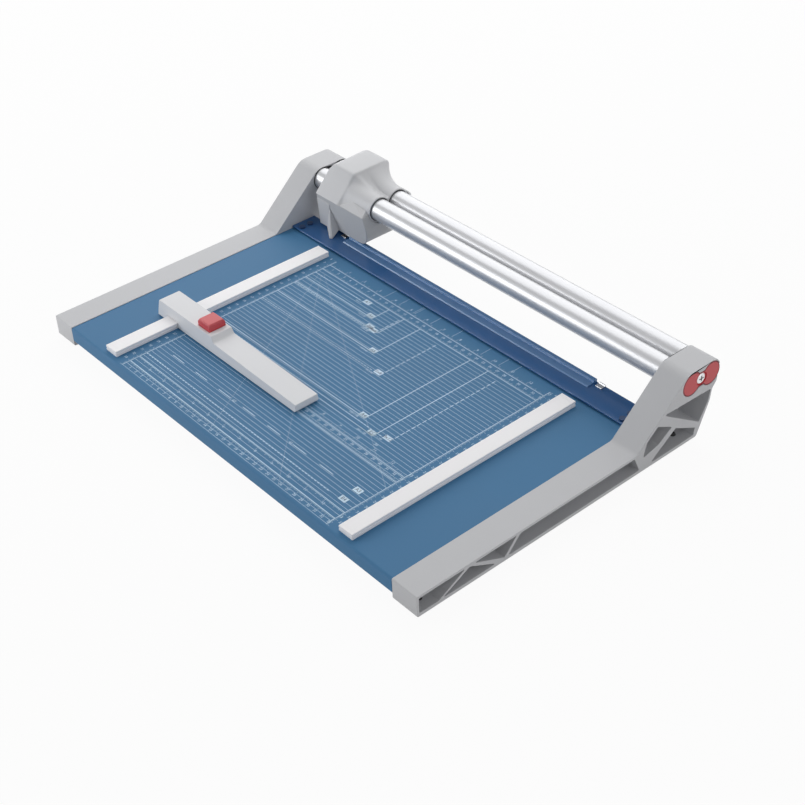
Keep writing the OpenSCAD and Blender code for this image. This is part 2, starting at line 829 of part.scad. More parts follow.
// Clamp strip: a clear sheet across the table that presses the paper down.
module clamp_strip() {
    color([0.35, 0.55, 0.8, 0.5])
        placed()
            difference() {
                along_x(-strip_half, strip_half)
                    polygon(rounded([[strip_front, strip_under, 0], [strip_front, strip_top, strip_edge],
                        [strip_back, strip_top, 0], [strip_back, strip_under, 0]]));
                both_sides()
                    for (y = post_ys)
                        rod_z(strip_under - eps, strip_top + eps, post_x, y, post_r + pin_fit);
            }
}

// Strip rail: a clear band with a rib at its back, bonded on the rear half of the strip.
rail_slope = 1;
rib_slope = 0.8;
rail_edge = 0.3;
module strip_rail() {
    color([0.35, 0.55, 0.8, 0.5])
        placed()
            along_x(-strip_band_half, strip_band_half)
                polygon(rounded([[band_front - rail_slope, strip_top, 0], [band_front, band_top, rail_edge],
                    [rib_front, band_top, 0], [rib_front + rib_slope, band_top + strip_rib_h, rail_edge],
                    [strip_back, band_top + strip_rib_h, rail_edge], [strip_back, strip_top, 0]]));
}

// Strip clips: small steel tabs on the strip past the ends of its rib.
clip_w = 8;
clip_t = 1.2;
module strip_clips() {
    color("silver")
        placed()
            both_sides()
                translate([strip_band_half + 4, 0, 0])
                    along_x(0, clip_w)
                        polygon(rounded([[rib_front - 2, strip_top, 0], [rib_front - 2, strip_top + clip_t, 0.4],
                            [strip_back - 2, strip_top + clip_t, 0], [strip_back - 1, strip_top + clip_t + 1.2, 0.4],
                            [strip_back, strip_top + clip_t + 1.2, 0.3], [strip_back, strip_top, 0]]));
}

// Shapes along both tubes: lobes round the tube axes joined by a bar.
module two_rods(x0, x1, r, bar) {
    for (y = [tube1_y, tube2_y])
        rod_x(x0, x1, y, tube_z, r);
    if (bar > 0)
        block([x0, tube1_y, tube_z - bar], [x1, tube2_y, tube_z + bar]);
}

// Hood: a block with a sloping front and a flare that narrows to the right socket.
// The flare is drawn through rings round the point midway between the tubes.
flare_steps = 8;
flare_power = 2.1;
flare_inset = 1;
front_reach = mid_y - head_front;
rear_reach = total_d - mid_y - flare_inset;
slope_rise = head_top_h + ledge_drop;
slope_l = norm([head_slope_run, slope_rise]);
slope_reach = (front_reach * slope_rise - ledge_drop * head_slope_run) / slope_l;
corner_turn = 3;
rear_top_a = atan(head_top_h / rear_reach);
front_top_a = 90 + atan((front_reach - head_slope_run) / head_top_h);
lobe_low_a = atan(ledge_drop / (tube_pitch / 2 + sqrt(socket_r * socket_r - ledge_drop * ledge_drop)));
function spread(a, b, n) = [for (i = [0:n]) a + (b - a) * i / n];
flare_angles = concat(spread(-atan(ledge_drop / rear_reach), rear_top_a - corner_turn, 4),
    spread(rear_top_a + corner_turn, front_top_a - corner_turn, 8),
    spread(front_top_a + corner_turn, 180 + atan(ledge_drop / front_reach), 8),
    spread(180 + lobe_low_a, 360 - lobe_low_a, 24));
flare_points = len(flare_angles);
function lobe_reach(a, r, bar) =
    let (h = tube_pitch / 2, lobe = h * abs(cos(a)) + sqrt(r * r - pow(h * sin(a), 2)),
        flat_top = bar / max(abs(sin(a)), 0.001))
    flat_top * abs(cos(a)) < h ? max(lobe, flat_top) : lobe;
function slope_part(a) = (head_slope_run * sin(a) - slope_rise * cos(a)) / slope_l;
function box_reach(a) = min((cos(a) < 0 ? front_reach : rear_reach) / max(abs(cos(a)), 0.001),
    (sin(a) > 0 ? head_top_h : ledge_drop) / max(abs(sin(a)), 0.001), slope_reach / max(slope_part(a), 0.001));
function flare_ring(t, x) = [for (a = flare_angles)
    let (s = lobe_reach(a, socket_r, socket_bar), r = s + max(box_reach(a) - s, 0) * pow(1 - t, flare_power))
    [x, mid_y + r * cos(a), tube_z + r * sin(a)]];
module flare() {
    x0 = crease_x - 3;
    points = concat(flare_ring(0, x0),
        [for (i = [0:flare_steps]) each flare_ring(i / flare_steps, crease_x + head_flare_w * i / flare_steps)]);
    rows = flare_steps + 2;
    ends = [[x0, mid_y, tube_z], [head_x1, mid_y, tube_z]];
    sides = [for (i = [0:rows - 2]) for (k = [0:flare_points - 1])
        let (p = i * flare_points, j = (k + 1) % flare_points)
        each [[p + k, p + flare_points + j, p + j], [p + k, p + flare_points + k, p + flare_points + j]]];
    low = [for (k = [0:flare_points - 1]) [rows * flare_points, k, (k + 1) % flare_points]];
    high = [for (k = [0:flare_points - 1]) let (p = (rows - 1) * flare_points)
        [rows * flare_points + 1, p + (k + 1) % flare_points, p + k]];
    polyhedron(concat(points, ends), concat(sides, low, high));
}

hood_round = 3;
tongue_t = 3;
tongue_y = total_d - head_wall - 2.2 - tongue_t;
function hood_outline(inset) = [[head_front + inset * 1.6, ledge_z - (inset > 0 ? eps : 0), 0],
    [head_front + head_slope_run + inset * 0.4, head_top - inset, hood_round],
    [total_d - 1.5 - inset, head_top - inset, hood_round], [total_d - inset, ledge_z - (inset > 0 ? eps : 0), 0]];
hood_boss = bushing_r + 1.8;
module head_hood() {
    color("lightgray")
        placed()
            difference() {
                union() {
                    along_x(head_x0, crease_x)
                        polygon(rounded(hood_outline(0)));
                    flare();
                    two_rods(skirt_x0 + skirt_lean + head_wall + seat_gap, head_x0 + lip_l + bushing_l, hood_boss, socket_bar);
                    block([head_x0 + 8, tongue_y, tube_z - 20], [crease_x - 2, tongue_y + tongue_t, ledge_z + 6]);
                }
                along_x(head_x0 + lip_l + bushing_l, crease_x - 1)
                    polygon(rounded(hood_outline(head_wall)));
                two_rods(head_x0 - eps, head_x1 + eps, mouth_r, mouth_bar);
                two_rods(head_x0 + lip_l, head_x0 + lip_l + bushing_l + 0.1, bushing_r + pin_fit, socket_bar - 1.2);
                two_rods(head_x1 - lip_l - bushing_l - 0.1, head_x1 - lip_l, bushing_r + pin_fit, socket_bar - 1.2);
                for (x = hood_screw_xs)
                    rod_y(tongue_y - eps, total_d, x, hood_screw_z, hood_screw_r + pin_fit);
            }
}

// Skirt: the lower shell of the head, open below, round the blade and its carrier.
skirt_h = ledge_z - skirt_under;
skirt_corner = skirt_h * 0.364;
skirt_inner_corner = skirt_h * 0.224;
skirt_bend = socket_r + 2;
hood_screw_r = 1.5;
hood_screw_z = tube_z - 14;
hood_screw_xs = [head_x0 + 14, crease_x - 8];
carrier_screw_xs = [blade_x - 12, blade_x + 12];
carrier_screw_z = (carrier_top + carrier_under) / 2;
skirt_x0 = head_x0 + 0.5;
skirt_lean = 2.5;
hood_screw_head_r = 2.8;
hood_screw_head_h = 1;
hood_screw_l = 6.5;
carrier_screw_l = 10;
function skirt_front_view(inset) = [[skirt_x0 + inset, ledge_z + (inset > 0 ? eps : 0), 0],
    [skirt_x0 + skirt_lean + inset, skirt_under - (inset > 0 ? eps : 0), inset > 0 ? 0 : 2],
    [head_x1 + 3.5 - inset * 1.4, skirt_under - (inset > 0 ? eps : 0), inset > 0 ? skirt_inner_corner : skirt_corner],
    [head_x1 + 3 - inset, tube_z - skirt_bend, 8], [head_x1 - 1 - inset, ledge_z + (inset > 0 ? eps : 0), 0]];
function skirt_side_view(inset) = [[head_front + 0.4 + inset, ledge_z + eps, 0],
    [head_front + 3 + inset, skirt_under - eps, 0], [total_d - 4 - inset, skirt_under - eps, 0],
    [total_d - 0.2 - inset, ledge_z + eps, 0]];
module skirt_form(inset) {
    intersection() {
        along_y(head_front - eps, total_d + eps)
            polygon(rounded(skirt_front_view(inset)));
        along_x(head_x0 - 5, head_x1 + 8)
            polygon(rounded(skirt_side_view(inset)));
    }
}

module head_skirt() {
    color("darkgray")
        placed()
            difference() {
                union() {
                    difference() {
                        skirt_form(0);
                        skirt_form(head_wall);
                    }
                    block([crease_x - 1, head_front + 1, ledge_z - head_wall], [head_x1 - 2, flare_front + 6, ledge_z]);
                }
                two_rods(head_x0 - 5, crease_x - 3, mouth_r, mouth_bar);
                two_rods(crease_x - 3.2, head_x1 + 8, socket_r + 0.05, socket_bar + 0.05);
                for (x = hood_screw_xs)
                    screw_seat(x, hood_screw_z);
                for (x = carrier_screw_xs)
                    screw_seat(x, carrier_screw_z);
            }
}

// Hole and spot face for a screw in the skirt's back.
module screw_seat(x, z) {
    rod_y(tongue_y, total_d + eps, x, z, hood_screw_r + pin_fit);
    rod_y(skirt_back(z), total_d + eps, x, z, hood_screw_head_r + pin_fit);
}

// Blade carrier: the block under the tubes that holds the axle.
carrier_back = total_d - 4 - head_wall - 1.6;
module blade_carrier() {
    color("dimgray")
        placed()
            difference() {
                along_x(blade_x - carrier_half, blade_x + carrier_half)
                    polygon(rounded([[carrier_front, carrier_under, 1.5], [carrier_back, carrier_under, 1.5],
                        [carrier_back, carrier_top, 1.5], [carrier_front, carrier_top, 1.5]]));
                rod_y(carrier_front - eps, carrier_front + axle_seat, blade_x, blade_z, axle_r);
                for (x = carrier_screw_xs)
                    rod_y(carrier_back - carrier_screw_l, carrier_back + eps, x, carrier_screw_z, hood_screw_r + pin_fit);
            }
}

// Bushings: two-lobed sliding bearings in the ends of the hood.
module bushing(x0) {
    color("ivory")
        placed()
            difference() {
                two_rods(x0, x0 + bushing_l, bushing_r, socket_bar - 1.4);
                two_rods(x0 - eps, x0 + bushing_l + eps, bushing_bore, 0);
            }
}

module bushing_left() {
    bushing(head_x0 + lip_l);
}

module bushing_right() {
    bushing(head_x1 - lip_l - bushing_l);
}

// Presser finger: a low panel on the skirt's front with a thin ploughshare that presses the strip.
// Its left side lies nearly in line with the panel, its right side is steep.
finger_x = head_x0 + 37;
finger_reach = 11.5;
finger_tip_y = head_front - finger_reach;
finger_tip_z = strip_top + 0.3;
finger_tip_h = 2;
finger_tip_r = 0.8;
finger_tip_w = 2;
finger_edge_r = 0.6;
finger_root = 12;
panel_x0 = head_x0 + 2;
panel_foot_x = skirt_x0 + skirt_lean + 2;
panel_y = head_front + 0.9;
panel_drop = 6;
panel_low = skirt_under - 0.9;
share_top_x = finger_x - 13.5;
share_top_drop = 12;
share_x0 = finger_x - 18;
share_x1 = finger_x - 2;
share_y = panel_y - 1.3;
root_y = head_front + 2.9;
root_z = skirt_under + 1.7;
module finger_dots(points) {
    for (p = points)
        translate(p)
            sphere(r = finger_edge_r, $fn = 10);
}

module presser_finger() {
    color("gainsboro")
        placed()
            difference() {
                union() {
                    hull()
                        finger_dots([[panel_x0, panel_y, ledge_z - panel_drop], [panel_foot_x, panel_y, panel_low],
                            [share_x0, panel_y, panel_low], [share_top_x, panel_y, ledge_z - panel_drop],
                            [panel_foot_x, root_y, root_z], [share_x0, root_y, root_z]]);
                    hull() {
                        finger_dots([[share_top_x, panel_y, ledge_z - share_top_drop], [share_x0, share_y, panel_low],
                            [share_x1, share_y, panel_low], [share_x0, root_y, root_z], [share_x1, root_y, root_z]]);
                        for (side = [0, 1])
                            translate([finger_x + (side - 0.6) * finger_tip_w, finger_tip_y + finger_tip_r + 1.2 * side,
                                finger_tip_z])
                                cylinder(h = finger_tip_h, r = finger_tip_r, $fn = 16);
                    }
                }
                along_x(head_x0 - 5, crease_x + 5)
                    polygon([flat(skirt_side_view(0)[0]), flat(skirt_side_view(0)[1]),
                        [head_front + finger_root, skirt_under - eps], [head_front + finger_root, ledge_z + eps]]);
            }
}

// Hood screws: they hold the skirt to the hood's tongue and to the blade carrier.
module hood_screws() {
    color("darkgray")
        placed() {
            for (x = hood_screw_xs)
                translate([x, skirt_back(hood_screw_z), hood_screw_z])
                    rotate([-90, 0, 0])
                        screw(hood_screw_head_r, hood_screw_head_h, hood_screw_r, hood_screw_l);
            for (x = carrier_screw_xs)
                translate([x, skirt_back(carrier_screw_z), carrier_screw_z])
                    rotate([-90, 0, 0])
                        screw(hood_screw_head_r, hood_screw_head_h, hood_screw_r, carrier_screw_l);
        }
}

// Back face of the skirt at the height z.
function skirt_back(z) = total_d - 4 + 3.8 * (z - skirt_under + eps) / (ledge_z - skirt_under + 2 * eps);

// Axle: a shouldered steel pin fixed in the carrier, with its head in front of the hub.
module blade_axle() {
    color("silver")
        placed() {
            rod_y(axle_head_y - axle_head_t, axle_head_y, blade_x, blade_z, axle_head_r);
            rod_y(axle_head_y - eps, carrier_front + axle_seat - 0.2, blade_x, blade_z, axle_r);
        }
}

// Blade spring: a coil that presses the rotary blade against the lower blade.
blade_wire_r = 0.45;
blade_coil_r = axle_r + 1.6;
blade_turns = 3;
module blade_spring() {
    color("silver")
        placed()
            translate([blade_x, hub_y1 + 0.1 + blade_wire_r, blade_z])
                rotate([-90, 0, 0])
                    wire(coil(blade_coil_r, carrier_front - hub_y1 - 0.2 - 2 * blade_wire_r, blade_turns), blade_wire_r);
}

// Rotary blade: a thin steel disc with a ground edge.
module rotary_blade() {
    color("silver")
        placed()
            translate([blade_x, blade_y0, blade_z])
                rotate([-90, 0, 0])
                    rotate_extrude($fn = 96)
                        polygon([[hub_r, 0], [blade_r, 0], [blade_r, 0.1], [blade_r - 2, blade_t], [hub_r, blade_t]]);
}

module blade_hub() {
    color("dimgray")
        placed()
            translate([blade_x, hub_y0, blade_z])
                rotate([-90, 0, 0])
                    rotate_extrude($fn = round_fn)
                        polygon([[axle_r + pin_fit, 0], [hub_r, 0], [hub_r, hub_l], [axle_r + pin_fit, hub_l]]);
}

// Back stop: a moulded block that rides on the left ruler, with a long arm.
function stop_side_view(inset) = [[stop_front + inset, stop_under - (inset > 0 ? eps : 0), 0],
    [stop_front + stop_lean + inset, stop_block_top + eps, 0],
    [stop_face_y - inset, stop_block_top + eps, 0],
    [stop_face_y - inset, stop_under - (inset > 0 ? eps : 0), 0]];
function stop_front_view(inset) = [[stop_x0 + inset, stop_under - (inset > 0 ? eps : 0), 0],
    [stop_x0 + inset, stop_block_top - inset, inset > 0 ? 0 : 1.2],
    [stop_x1 - inset, stop_block_top - inset, inset > 0 ? 0 : 1],
    [stop_x1 + 4 - inset, table_top + stop_arm_h - inset, inset > 0 ? 0 : 4],
    [stop_x2 - inset - 1, table_top + stop_end_h - inset, inset > 0 ? 0 : 0.8],
    [stop_x2 - inset, stop_under + 1.5, 0],
    [stop_x2 - inset - 1, stop_under - (inset > 0 ? eps : 0), 0]];
module stop_form(inset) {
    intersection() {
        along_x(stop_x0 - eps, stop_x2 + eps)
            polygon(rounded(stop_side_view(inset)));
        along_y(stop_front - eps, stop_face_y + eps)
            polygon(rounded(stop_front_view(inset)));
    }
}

lip_d = groove_d - 0.2;
button_half = button_w / 2;
module stop_body() {
    color("lightgray")
        placed()
            difference() {
                union() {
                    difference() {
                        stop_form(0);
                        stop_form(stop_wall);
                    }
                    intersection() {
                        stop_form(0);
                        union() {
                            block([stop_x0 + eps, stop_front - eps, stop_under], [-ruler_in + 4, stop_face_y + eps, stop_block_top - eps]);
                            block([button_x - button_half - 3, stop_front, well_floor - floor_t],
                                [stop_x1 + 2, stop_face_y, stop_block_top - eps]);
                            for (y = [shoe_y0 - 2.3, shoe_y1 + 0.2])
                                block([-ruler_in + 3, y, stop_under + cover_t + cover_gap], [stop_x1 + 2, y + 2, well_floor]);
                        }
                    }
                }
                along_y(stop_front - eps, stop_face_y + eps)
                    difference() {
                        translate([-ruler_out - notch_gap, stop_under - eps])
                            square([ruler_w + 2 * notch_gap, table_top + ruler_h + notch_gap - stop_under + eps]);
                        for (side = [-1, 1])
                            translate([-ruler_mid + side * (ruler_w / 2 + notch_gap - lip_d / 2 - notch_gap / 2),
                                table_top + (groove_low + groove_high) / 2])
                                square([lip_d + notch_gap + 0.2, groove_high - groove_low - 0.2], center = true);
                    }
                block([-ruler_in - 1, shoe_y0 - 0.2, stop_under - eps], [stop_x1 - stop_wall, shoe_y1 + 0.2, well_floor - floor_t]);
                block([button_x - button_half - button_gap, button_y - button_half - button_gap, well_floor],
                    [button_x + button_half + button_gap, button_y + button_half + button_gap, stop_block_top + eps]);
                rod_z(well_floor - floor_t - eps, well_floor + eps, button_x, button_y, stem_r + pin_fit);
                for (p = stop_screw_at)
                    rod_z(stop_under - eps, stop_under + stop_screw_l + 1, p[0], p[1], stop_screw_r + pin_fit);
                block([cover_x0 - cover_gap, cover_y0 - cover_gap, stop_under - eps],
                    [cover_x1 + cover_gap, cover_y1 + cover_gap, stop_under + cover_t + cover_gap]);
            }
}

// Stop cover: a thin plate under the block that keeps the shoe in.
stop_screw_r = 1.2;
stop_screw_head_r = 1.9;
stop_screw_head_h = 0.5;
stop_screw_l = 5;
stop_screw_at = [[-ruler_in + 2.3, stop_front + 6], [-ruler_in + 2.3, shoe_y1 + 2]];
cover_x0 = -ruler_in + 0.8;
cover_x1 = stop_x1 - stop_wall - 0.3;
cover_y0 = stop_front + stop_wall + 0.6;
cover_y1 = stop_face_y - stop_wall - 0.2;
module stop_cover() {
    color("gray")
        placed()
            difference() {
                block([cover_x0, cover_y0, stop_under], [cover_x1, cover_y1, stop_under + cover_t]);
                rod_z(stop_under - eps, shoe_under, button_x, button_y, stem_r + 0.4);
                for (p = stop_screw_at)
                    rod_z(stop_under - eps, shoe_under, p[0], p[1], stop_screw_r + pin_fit);
            }
}

module stop_screws() {
    color("darkgray")
        placed()
            for (p = stop_screw_at)
                translate([p[0], p[1], stop_under])
                    rotate([180, 0, 0])
                        screw(stop_screw_head_r, stop_screw_head_h, stop_screw_r, stop_screw_l);
}

// Shoe: a bar that grips the ruler's inner side until the button is pressed.
module stop_shoe() {
    color("darkslategray")
        placed()
            difference() {
                block([shoe_x0, shoe_y0, shoe_under], [shoe_x1, shoe_y1, shoe_top]);
                along_y(button_y - stem_r - 0.3, button_y + stem_r + 0.3)
                    polygon([[button_x - stem_r - 0.8, shoe_under - eps], [button_x - stem_r - 0.8, shoe_top + eps],
                        [button_x + stem_flat_x(shoe_top + eps) + 0.1, shoe_top + eps],
                        [button_x + stem_flat_x(shoe_under - eps) + 0.1, shoe_under - eps]]);
            }
}

// Sloping flat on the stem: its distance from the axis at the height z.
function stem_flat_x(z) = stem_flat + shoe_ratio * (z - shoe_under);

// Release button: a hollow red key with a bevelled top.
button_bevel = 1.5;
module button_form(inset) {
    half = button_half - inset;
    top = button_top - inset;
    low = button_skirt - (inset > 0 ? eps : 0);
    intersection() {
        along_x(button_x - half, button_x + half)
            polygon([[button_y - half, low], [button_y - half, top - 2 * button_bevel],
                [button_y - half + button_bevel, top], [button_y + half - button_bevel, top],
                [button_y + half, top - 2 * button_bevel], [button_y + half, low]]);
        along_y(button_y - half, button_y + half)
            polygon([[button_x - half, low], [button_x - half, top - 2 * button_bevel],
                [button_x - half + button_bevel, top], [button_x + half - button_bevel, top],
                [button_x + half, top - 2 * button_bevel], [button_x + half, low]]);
    }
}

module release_button() {
    color("crimson")
        placed()
            difference() {
                button_form(0);
                button_form(button_wall);
            }
}

// Stem: a pin from the button to the shoe, with a sloping flat at its foot.
module button_stem() {
    color("silver")
        placed()
            difference() {
                rod_z(stem_under, button_top - button_wall, button_x, button_y, stem_r);
                along_y(button_y - stem_r - eps, button_y + stem_r + eps)
                    polygon([[button_x + stem_flat_x(stem_under - eps), stem_under - eps],
                        [button_x + stem_flat_x(stem_flat_top), stem_flat_top],
                        [button_x + stem_r + eps, stem_flat_top], [button_x + stem_r + eps, stem_under - eps]]);
            }
}

// Button spring: a coil round the stem that lifts the button.
button_wire_r = 0.35;
button_turns = 5;
module button_spring() {
    color("silver")
        placed()
            translate([button_x, button_y, well_floor + button_wire_r + 0.05])
                wire(coil(stem_r + 1.5, button_top - button_wall - well_floor - 2 * button_wire_r - 0.1, button_turns),
                    button_wire_r);
}

table_plate();
side_frame_left();
side_frame_right();
front_rail();
blade_rail();
lower_blade();
lower_blade_screws();
guide_tube_front();
guide_tube_rear();
tube_cap_left();
tube_cap_right();
cap_screws();
tube_rings();
ruler_left();
ruler_right();
ruler_end_caps();
ruler_screws();
rubber_feet();
frame_screws();
table_screws();
strip_posts();
strip_springs();
clamp_strip();
strip_rail();
strip_clips();
head_hood();
head_skirt();
blade_carrier();
bushing_left();
bushing_right();
presser_finger();
hood_screws();
blade_axle();
blade_spring();
rotary_blade();
blade_hub();
stop_body();
stop_cover();
stop_screws();
button_spring();
stop_shoe();
release_button();
button_stem();
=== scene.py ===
from math import atan2, cos, pi, radians, sin, sqrt

import bmesh
import bpy
from mathutils import Matrix, Vector


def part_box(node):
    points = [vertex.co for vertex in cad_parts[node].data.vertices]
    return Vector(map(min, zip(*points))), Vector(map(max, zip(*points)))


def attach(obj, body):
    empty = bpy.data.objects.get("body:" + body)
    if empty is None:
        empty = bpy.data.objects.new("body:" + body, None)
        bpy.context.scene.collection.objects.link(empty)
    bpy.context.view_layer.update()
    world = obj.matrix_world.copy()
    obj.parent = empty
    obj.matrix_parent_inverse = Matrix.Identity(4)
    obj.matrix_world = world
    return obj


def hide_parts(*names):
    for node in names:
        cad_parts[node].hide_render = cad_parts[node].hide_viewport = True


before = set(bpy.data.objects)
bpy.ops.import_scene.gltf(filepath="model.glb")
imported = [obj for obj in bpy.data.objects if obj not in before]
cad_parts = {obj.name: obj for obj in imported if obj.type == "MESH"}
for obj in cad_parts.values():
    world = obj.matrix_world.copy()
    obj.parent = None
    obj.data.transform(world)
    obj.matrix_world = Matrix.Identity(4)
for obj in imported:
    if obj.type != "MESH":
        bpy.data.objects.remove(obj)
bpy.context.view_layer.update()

# Side frames: two ribbed mouldings in light grey plastic, a bar beside the table with a raised arm
# for the tubes. They come from one mould and its mirror, with a fine spark texture and eased corners.
mm = 0.001


def tone(red, green, blue):
    """A colour as a paint chart gives it, turned into the shader's linear values."""
    return tuple(((c / 255 + 0.055) / 1.055) ** 2.4 for c in (red, green, blue)) + (1.0,)


def finish(name, colour, rough, metal=0.0, grain=1.2 * mm, depth=0.03 * mm, spread=0.05, cloud=60 * mm):
    """A surface whose colour and gloss drift a little, with a fine grain of the given size and depth.

    spread is how far the colour drifts either way, and cloud is the size of a drifting patch.
    """
    gloss_drift = 0.12
    made = bpy.data.materials.new(name)
    made.use_nodes = True
    nodes = made.node_tree.nodes
    link = made.node_tree.links.new
    shader = nodes["Principled BSDF"]
    shader.inputs["Metallic"].default_value = metal
    place = nodes.new("ShaderNodeTexCoord")

    drift = nodes.new("ShaderNodeTexNoise")
    drift.inputs["Scale"].default_value = 1 / cloud
    drift.inputs["Detail"].default_value = 4
    link(place.outputs["Object"], drift.inputs["Vector"])

    shade = nodes.new("ShaderNodeValToRGB")
    for stop, at, share in zip(shade.color_ramp.elements, (0.3, 0.7), (1 - spread, 1 + spread)):
        stop.position = at
        stop.color = tuple(min(c * share, 1) for c in colour[:3]) + (1.0,)
    link(drift.outputs["Fac"], shade.inputs["Fac"])
    link(shade.outputs["Color"], shader.inputs["Base Color"])

    gloss = nodes.new("ShaderNodeMapRange")
    gloss.inputs["To Min"].default_value = rough * (1 - gloss_drift)
    gloss.inputs["To Max"].default_value = min(rough * (1 + gloss_drift), 1)
    link(drift.outputs["Fac"], gloss.inputs["Value"])
    link(gloss.outputs["Result"], shader.inputs["Roughness"])

    spark = nodes.new("ShaderNodeTexNoise")
    spark.inputs["Scale"].default_value = 1 / grain
    spark.inputs["Detail"].default_value = 2
    link(place.outputs["Object"], spark.inputs["Vector"])
    bump = nodes.new("ShaderNodeBump")
    bump.inputs["Distance"].default_value = depth
    link(spark.outputs["Fac"], bump.inputs["Height"])
    link(bump.outputs["Normal"], shader.inputs["Normal"])
    return made


def dress(material, *names):
    """Gives CAD pieces a material."""
    for name in names:
        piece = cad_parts[name]
        piece.data.materials.clear()
        piece.data.materials.append(material)


def show(piece_name, form, material, body):
    """Turns a bmesh into a piece that rides on a body."""
    mesh = bpy.data.meshes.new(piece_name)
    form.to_mesh(mesh)
    form.free()
    mesh.materials.append(material)
    piece = bpy.data.objects.new(piece_name, mesh)
    bpy.context.scene.collection.objects.link(piece)
    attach(piece, body)
    return piece


def shade_round(form, sharp):
    """Shades a bmesh smooth, but keeps the edges that turn by more than the sharp angle."""
    for face in form.faces:
        face.smooth = True
    for edge in form.edges:
        edge.smooth = len(edge.link_faces) == 2 and edge.calc_face_angle() < sharp


def eased(node, piece_name, round_by, material, body, steps=2, sharp=radians(32), reshape=None):
    """A copy of a CAD piece with its sharp corners rounded, in place of the CAD piece.

    reshape is a last change of form, made once the corners are round.
    """
    weld = 0.002 * mm
    flat = radians(0.8)
    form = bmesh.new()
    form.from_mesh(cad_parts[node].data)
    bmesh.ops.remove_doubles(form, verts=form.verts, dist=weld)
    bmesh.ops.dissolve_limit(form, angle_limit=flat, verts=form.verts, edges=form.edges)
    corners = [e for e in form.edges if len(e.link_faces) == 2 and e.calc_face_angle() > sharp]
    bmesh.ops.bevel(form, geom=corners, offset=round_by, offset_type="OFFSET", segments=steps, profile=0.5,
                    affect="EDGES", clamp_overlap=False, material=-1)
    if reshape:
        reshape(form)
    shade_round(form, sharp)
    piece = show(piece_name, form, material, body)
    weigh = piece.modifiers.new("even_light", "WEIGHTED_NORMAL")
    weigh.keep_sharp = True
    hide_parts(node)
    return piece


moulding = finish("frame_moulding", tone(198, 199, 202), 0.5, spread=0.02)
for side in ("left", "right"):
    eased(f"side_frame_{side}", f"frame_shell_{side}", 0.5 * mm, moulding, "base")

# Feet: four turned buttons of black rubber that keep the machine from sliding. Their stems are
# pushed into holes in the frames' lower flanges.
dress(finish("foot_rubber", tone(38, 38, 40), 0.8, grain=0.8 * mm), "rubber_feet")

# Table: one plate of sheet steel with a coat of satin blue enamel. It is folded down along its
# front edge and screwed to the side frames.
enamel = finish("blue_enamel", tone(64, 118, 160), 0.55, grain=2.5 * mm, depth=0.01 * mm, spread=0.04,
                cloud=150 * mm)
enamel.node_tree.nodes["Principled BSDF"].inputs["Specular IOR Level"].default_value = 0.28
dress(enamel, "table_plate")

# Print on the table: one screen-printed layer of white ink. Pale lines lie every 5 mm, scales run
# along the front, the middle, the rear and both sides, and broken and plain lines mark the paper sizes.
# The names of the sizes are in blue on small white fields.
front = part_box("table_plate")[0].y
table_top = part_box("table_plate")[1].z
ink_t = 0.03 * mm
hair_line = 0.16 * mm
tick_line = 0.22 * mm
fine_line = 0.3 * mm
plain_line = 0.55 * mm
bold_line = 0.75 * mm
cm = 10 * mm
inch = 25.4 * mm
left_reach = 165
scale_left = -left_reach * mm
scale_right = 165.5 * mm
rear_scale = 263.9 * mm
rear_inches = rear_scale + 10.7 * mm
middle_scale = 85.2 * mm
middle_inches = middle_scale + 10 * mm
front_scale = 13.5 * mm
front_inches = front_scale + 11.5 * mm
print_front = 3.5 * mm
print_rear = rear_scale + 20 * mm
grid_step = 5 * mm


def stripe(form, start, end, width):
    """A printed line between two points of the table, measured from the middle of its front edge."""
    start, end = Vector(start), Vector(end)
    run, middle = end - start, (start + end) / 2
    place = Matrix.Translation((middle.x, front + middle.y, table_top + ink_t / 2))
    turn = Matrix.Rotation(atan2(run.y, run.x), 4, "Z")
    bmesh.ops.create_cube(form, size=1, matrix=place @ turn @ Matrix.Diagonal((run.length, width, ink_t, 1)))


def dashes(form, start, end, width, dash, gap):
    """A broken line from start towards end."""
    start, end = Vector(start), Vector(end)
    step = (end - start).normalized()
    for i in range(int((end - start).length / (dash + gap))):
        begin = start + step * i * (dash + gap)
        stripe(form, begin, begin + step * dash, width)


def figures(form, words, x, y, height, body=table_top):
    """Printed figures centred on a point of the table, on a surface at the height of body."""
    size_per_height = 1.4
    line = bpy.data.curves.new("figures", "FONT")
    line.body = words
    line.size = height * size_per_height
    line.extrude = ink_t / 2
    line.resolution_u = 2
    line.align_x = "CENTER"
    line.align_y = "CENTER"
    text = bpy.data.objects.new("figures", line)
    mesh = bpy.data.meshes.new_from_object(text)
    mesh.transform(Matrix.Translation((x, front + y, body + ink_t / 2)))
    form.from_mesh(mesh)
    bpy.data.meshes.remove(mesh)
    bpy.data.objects.remove(text)
    bpy.data.curves.remove(line)


def ticks(form, start, along, across, pitch, count, lengths):
    """Tick marks along a scale. lengths gives the tick's length by how often it comes."""
    for i in range(count + 1):
        length = next(size for every, size in lengths if i % every == 0)
        foot = Vector(start) + Vector(along) * pitch * i
        stripe(form, foot, foot + Vector(across) * length, tick_line)


ink = bmesh.new()
for i in range(int((rear_scale - print_front) / grid_step) + 1):
    y = rear_scale - i * grid_step
    stripe(ink, (scale_left, y), (scale_right, y), plain_line if i == 0 else fine_line)
for x in (scale_left, scale_right):
    stripe(ink, (x, print_front), (x, print_rear), plain_line)
for y in (rear_inches, middle_scale, middle_inches, front_scale, front_inches):
    stripe(ink, (scale_left, y), (scale_right, y), plain_line)

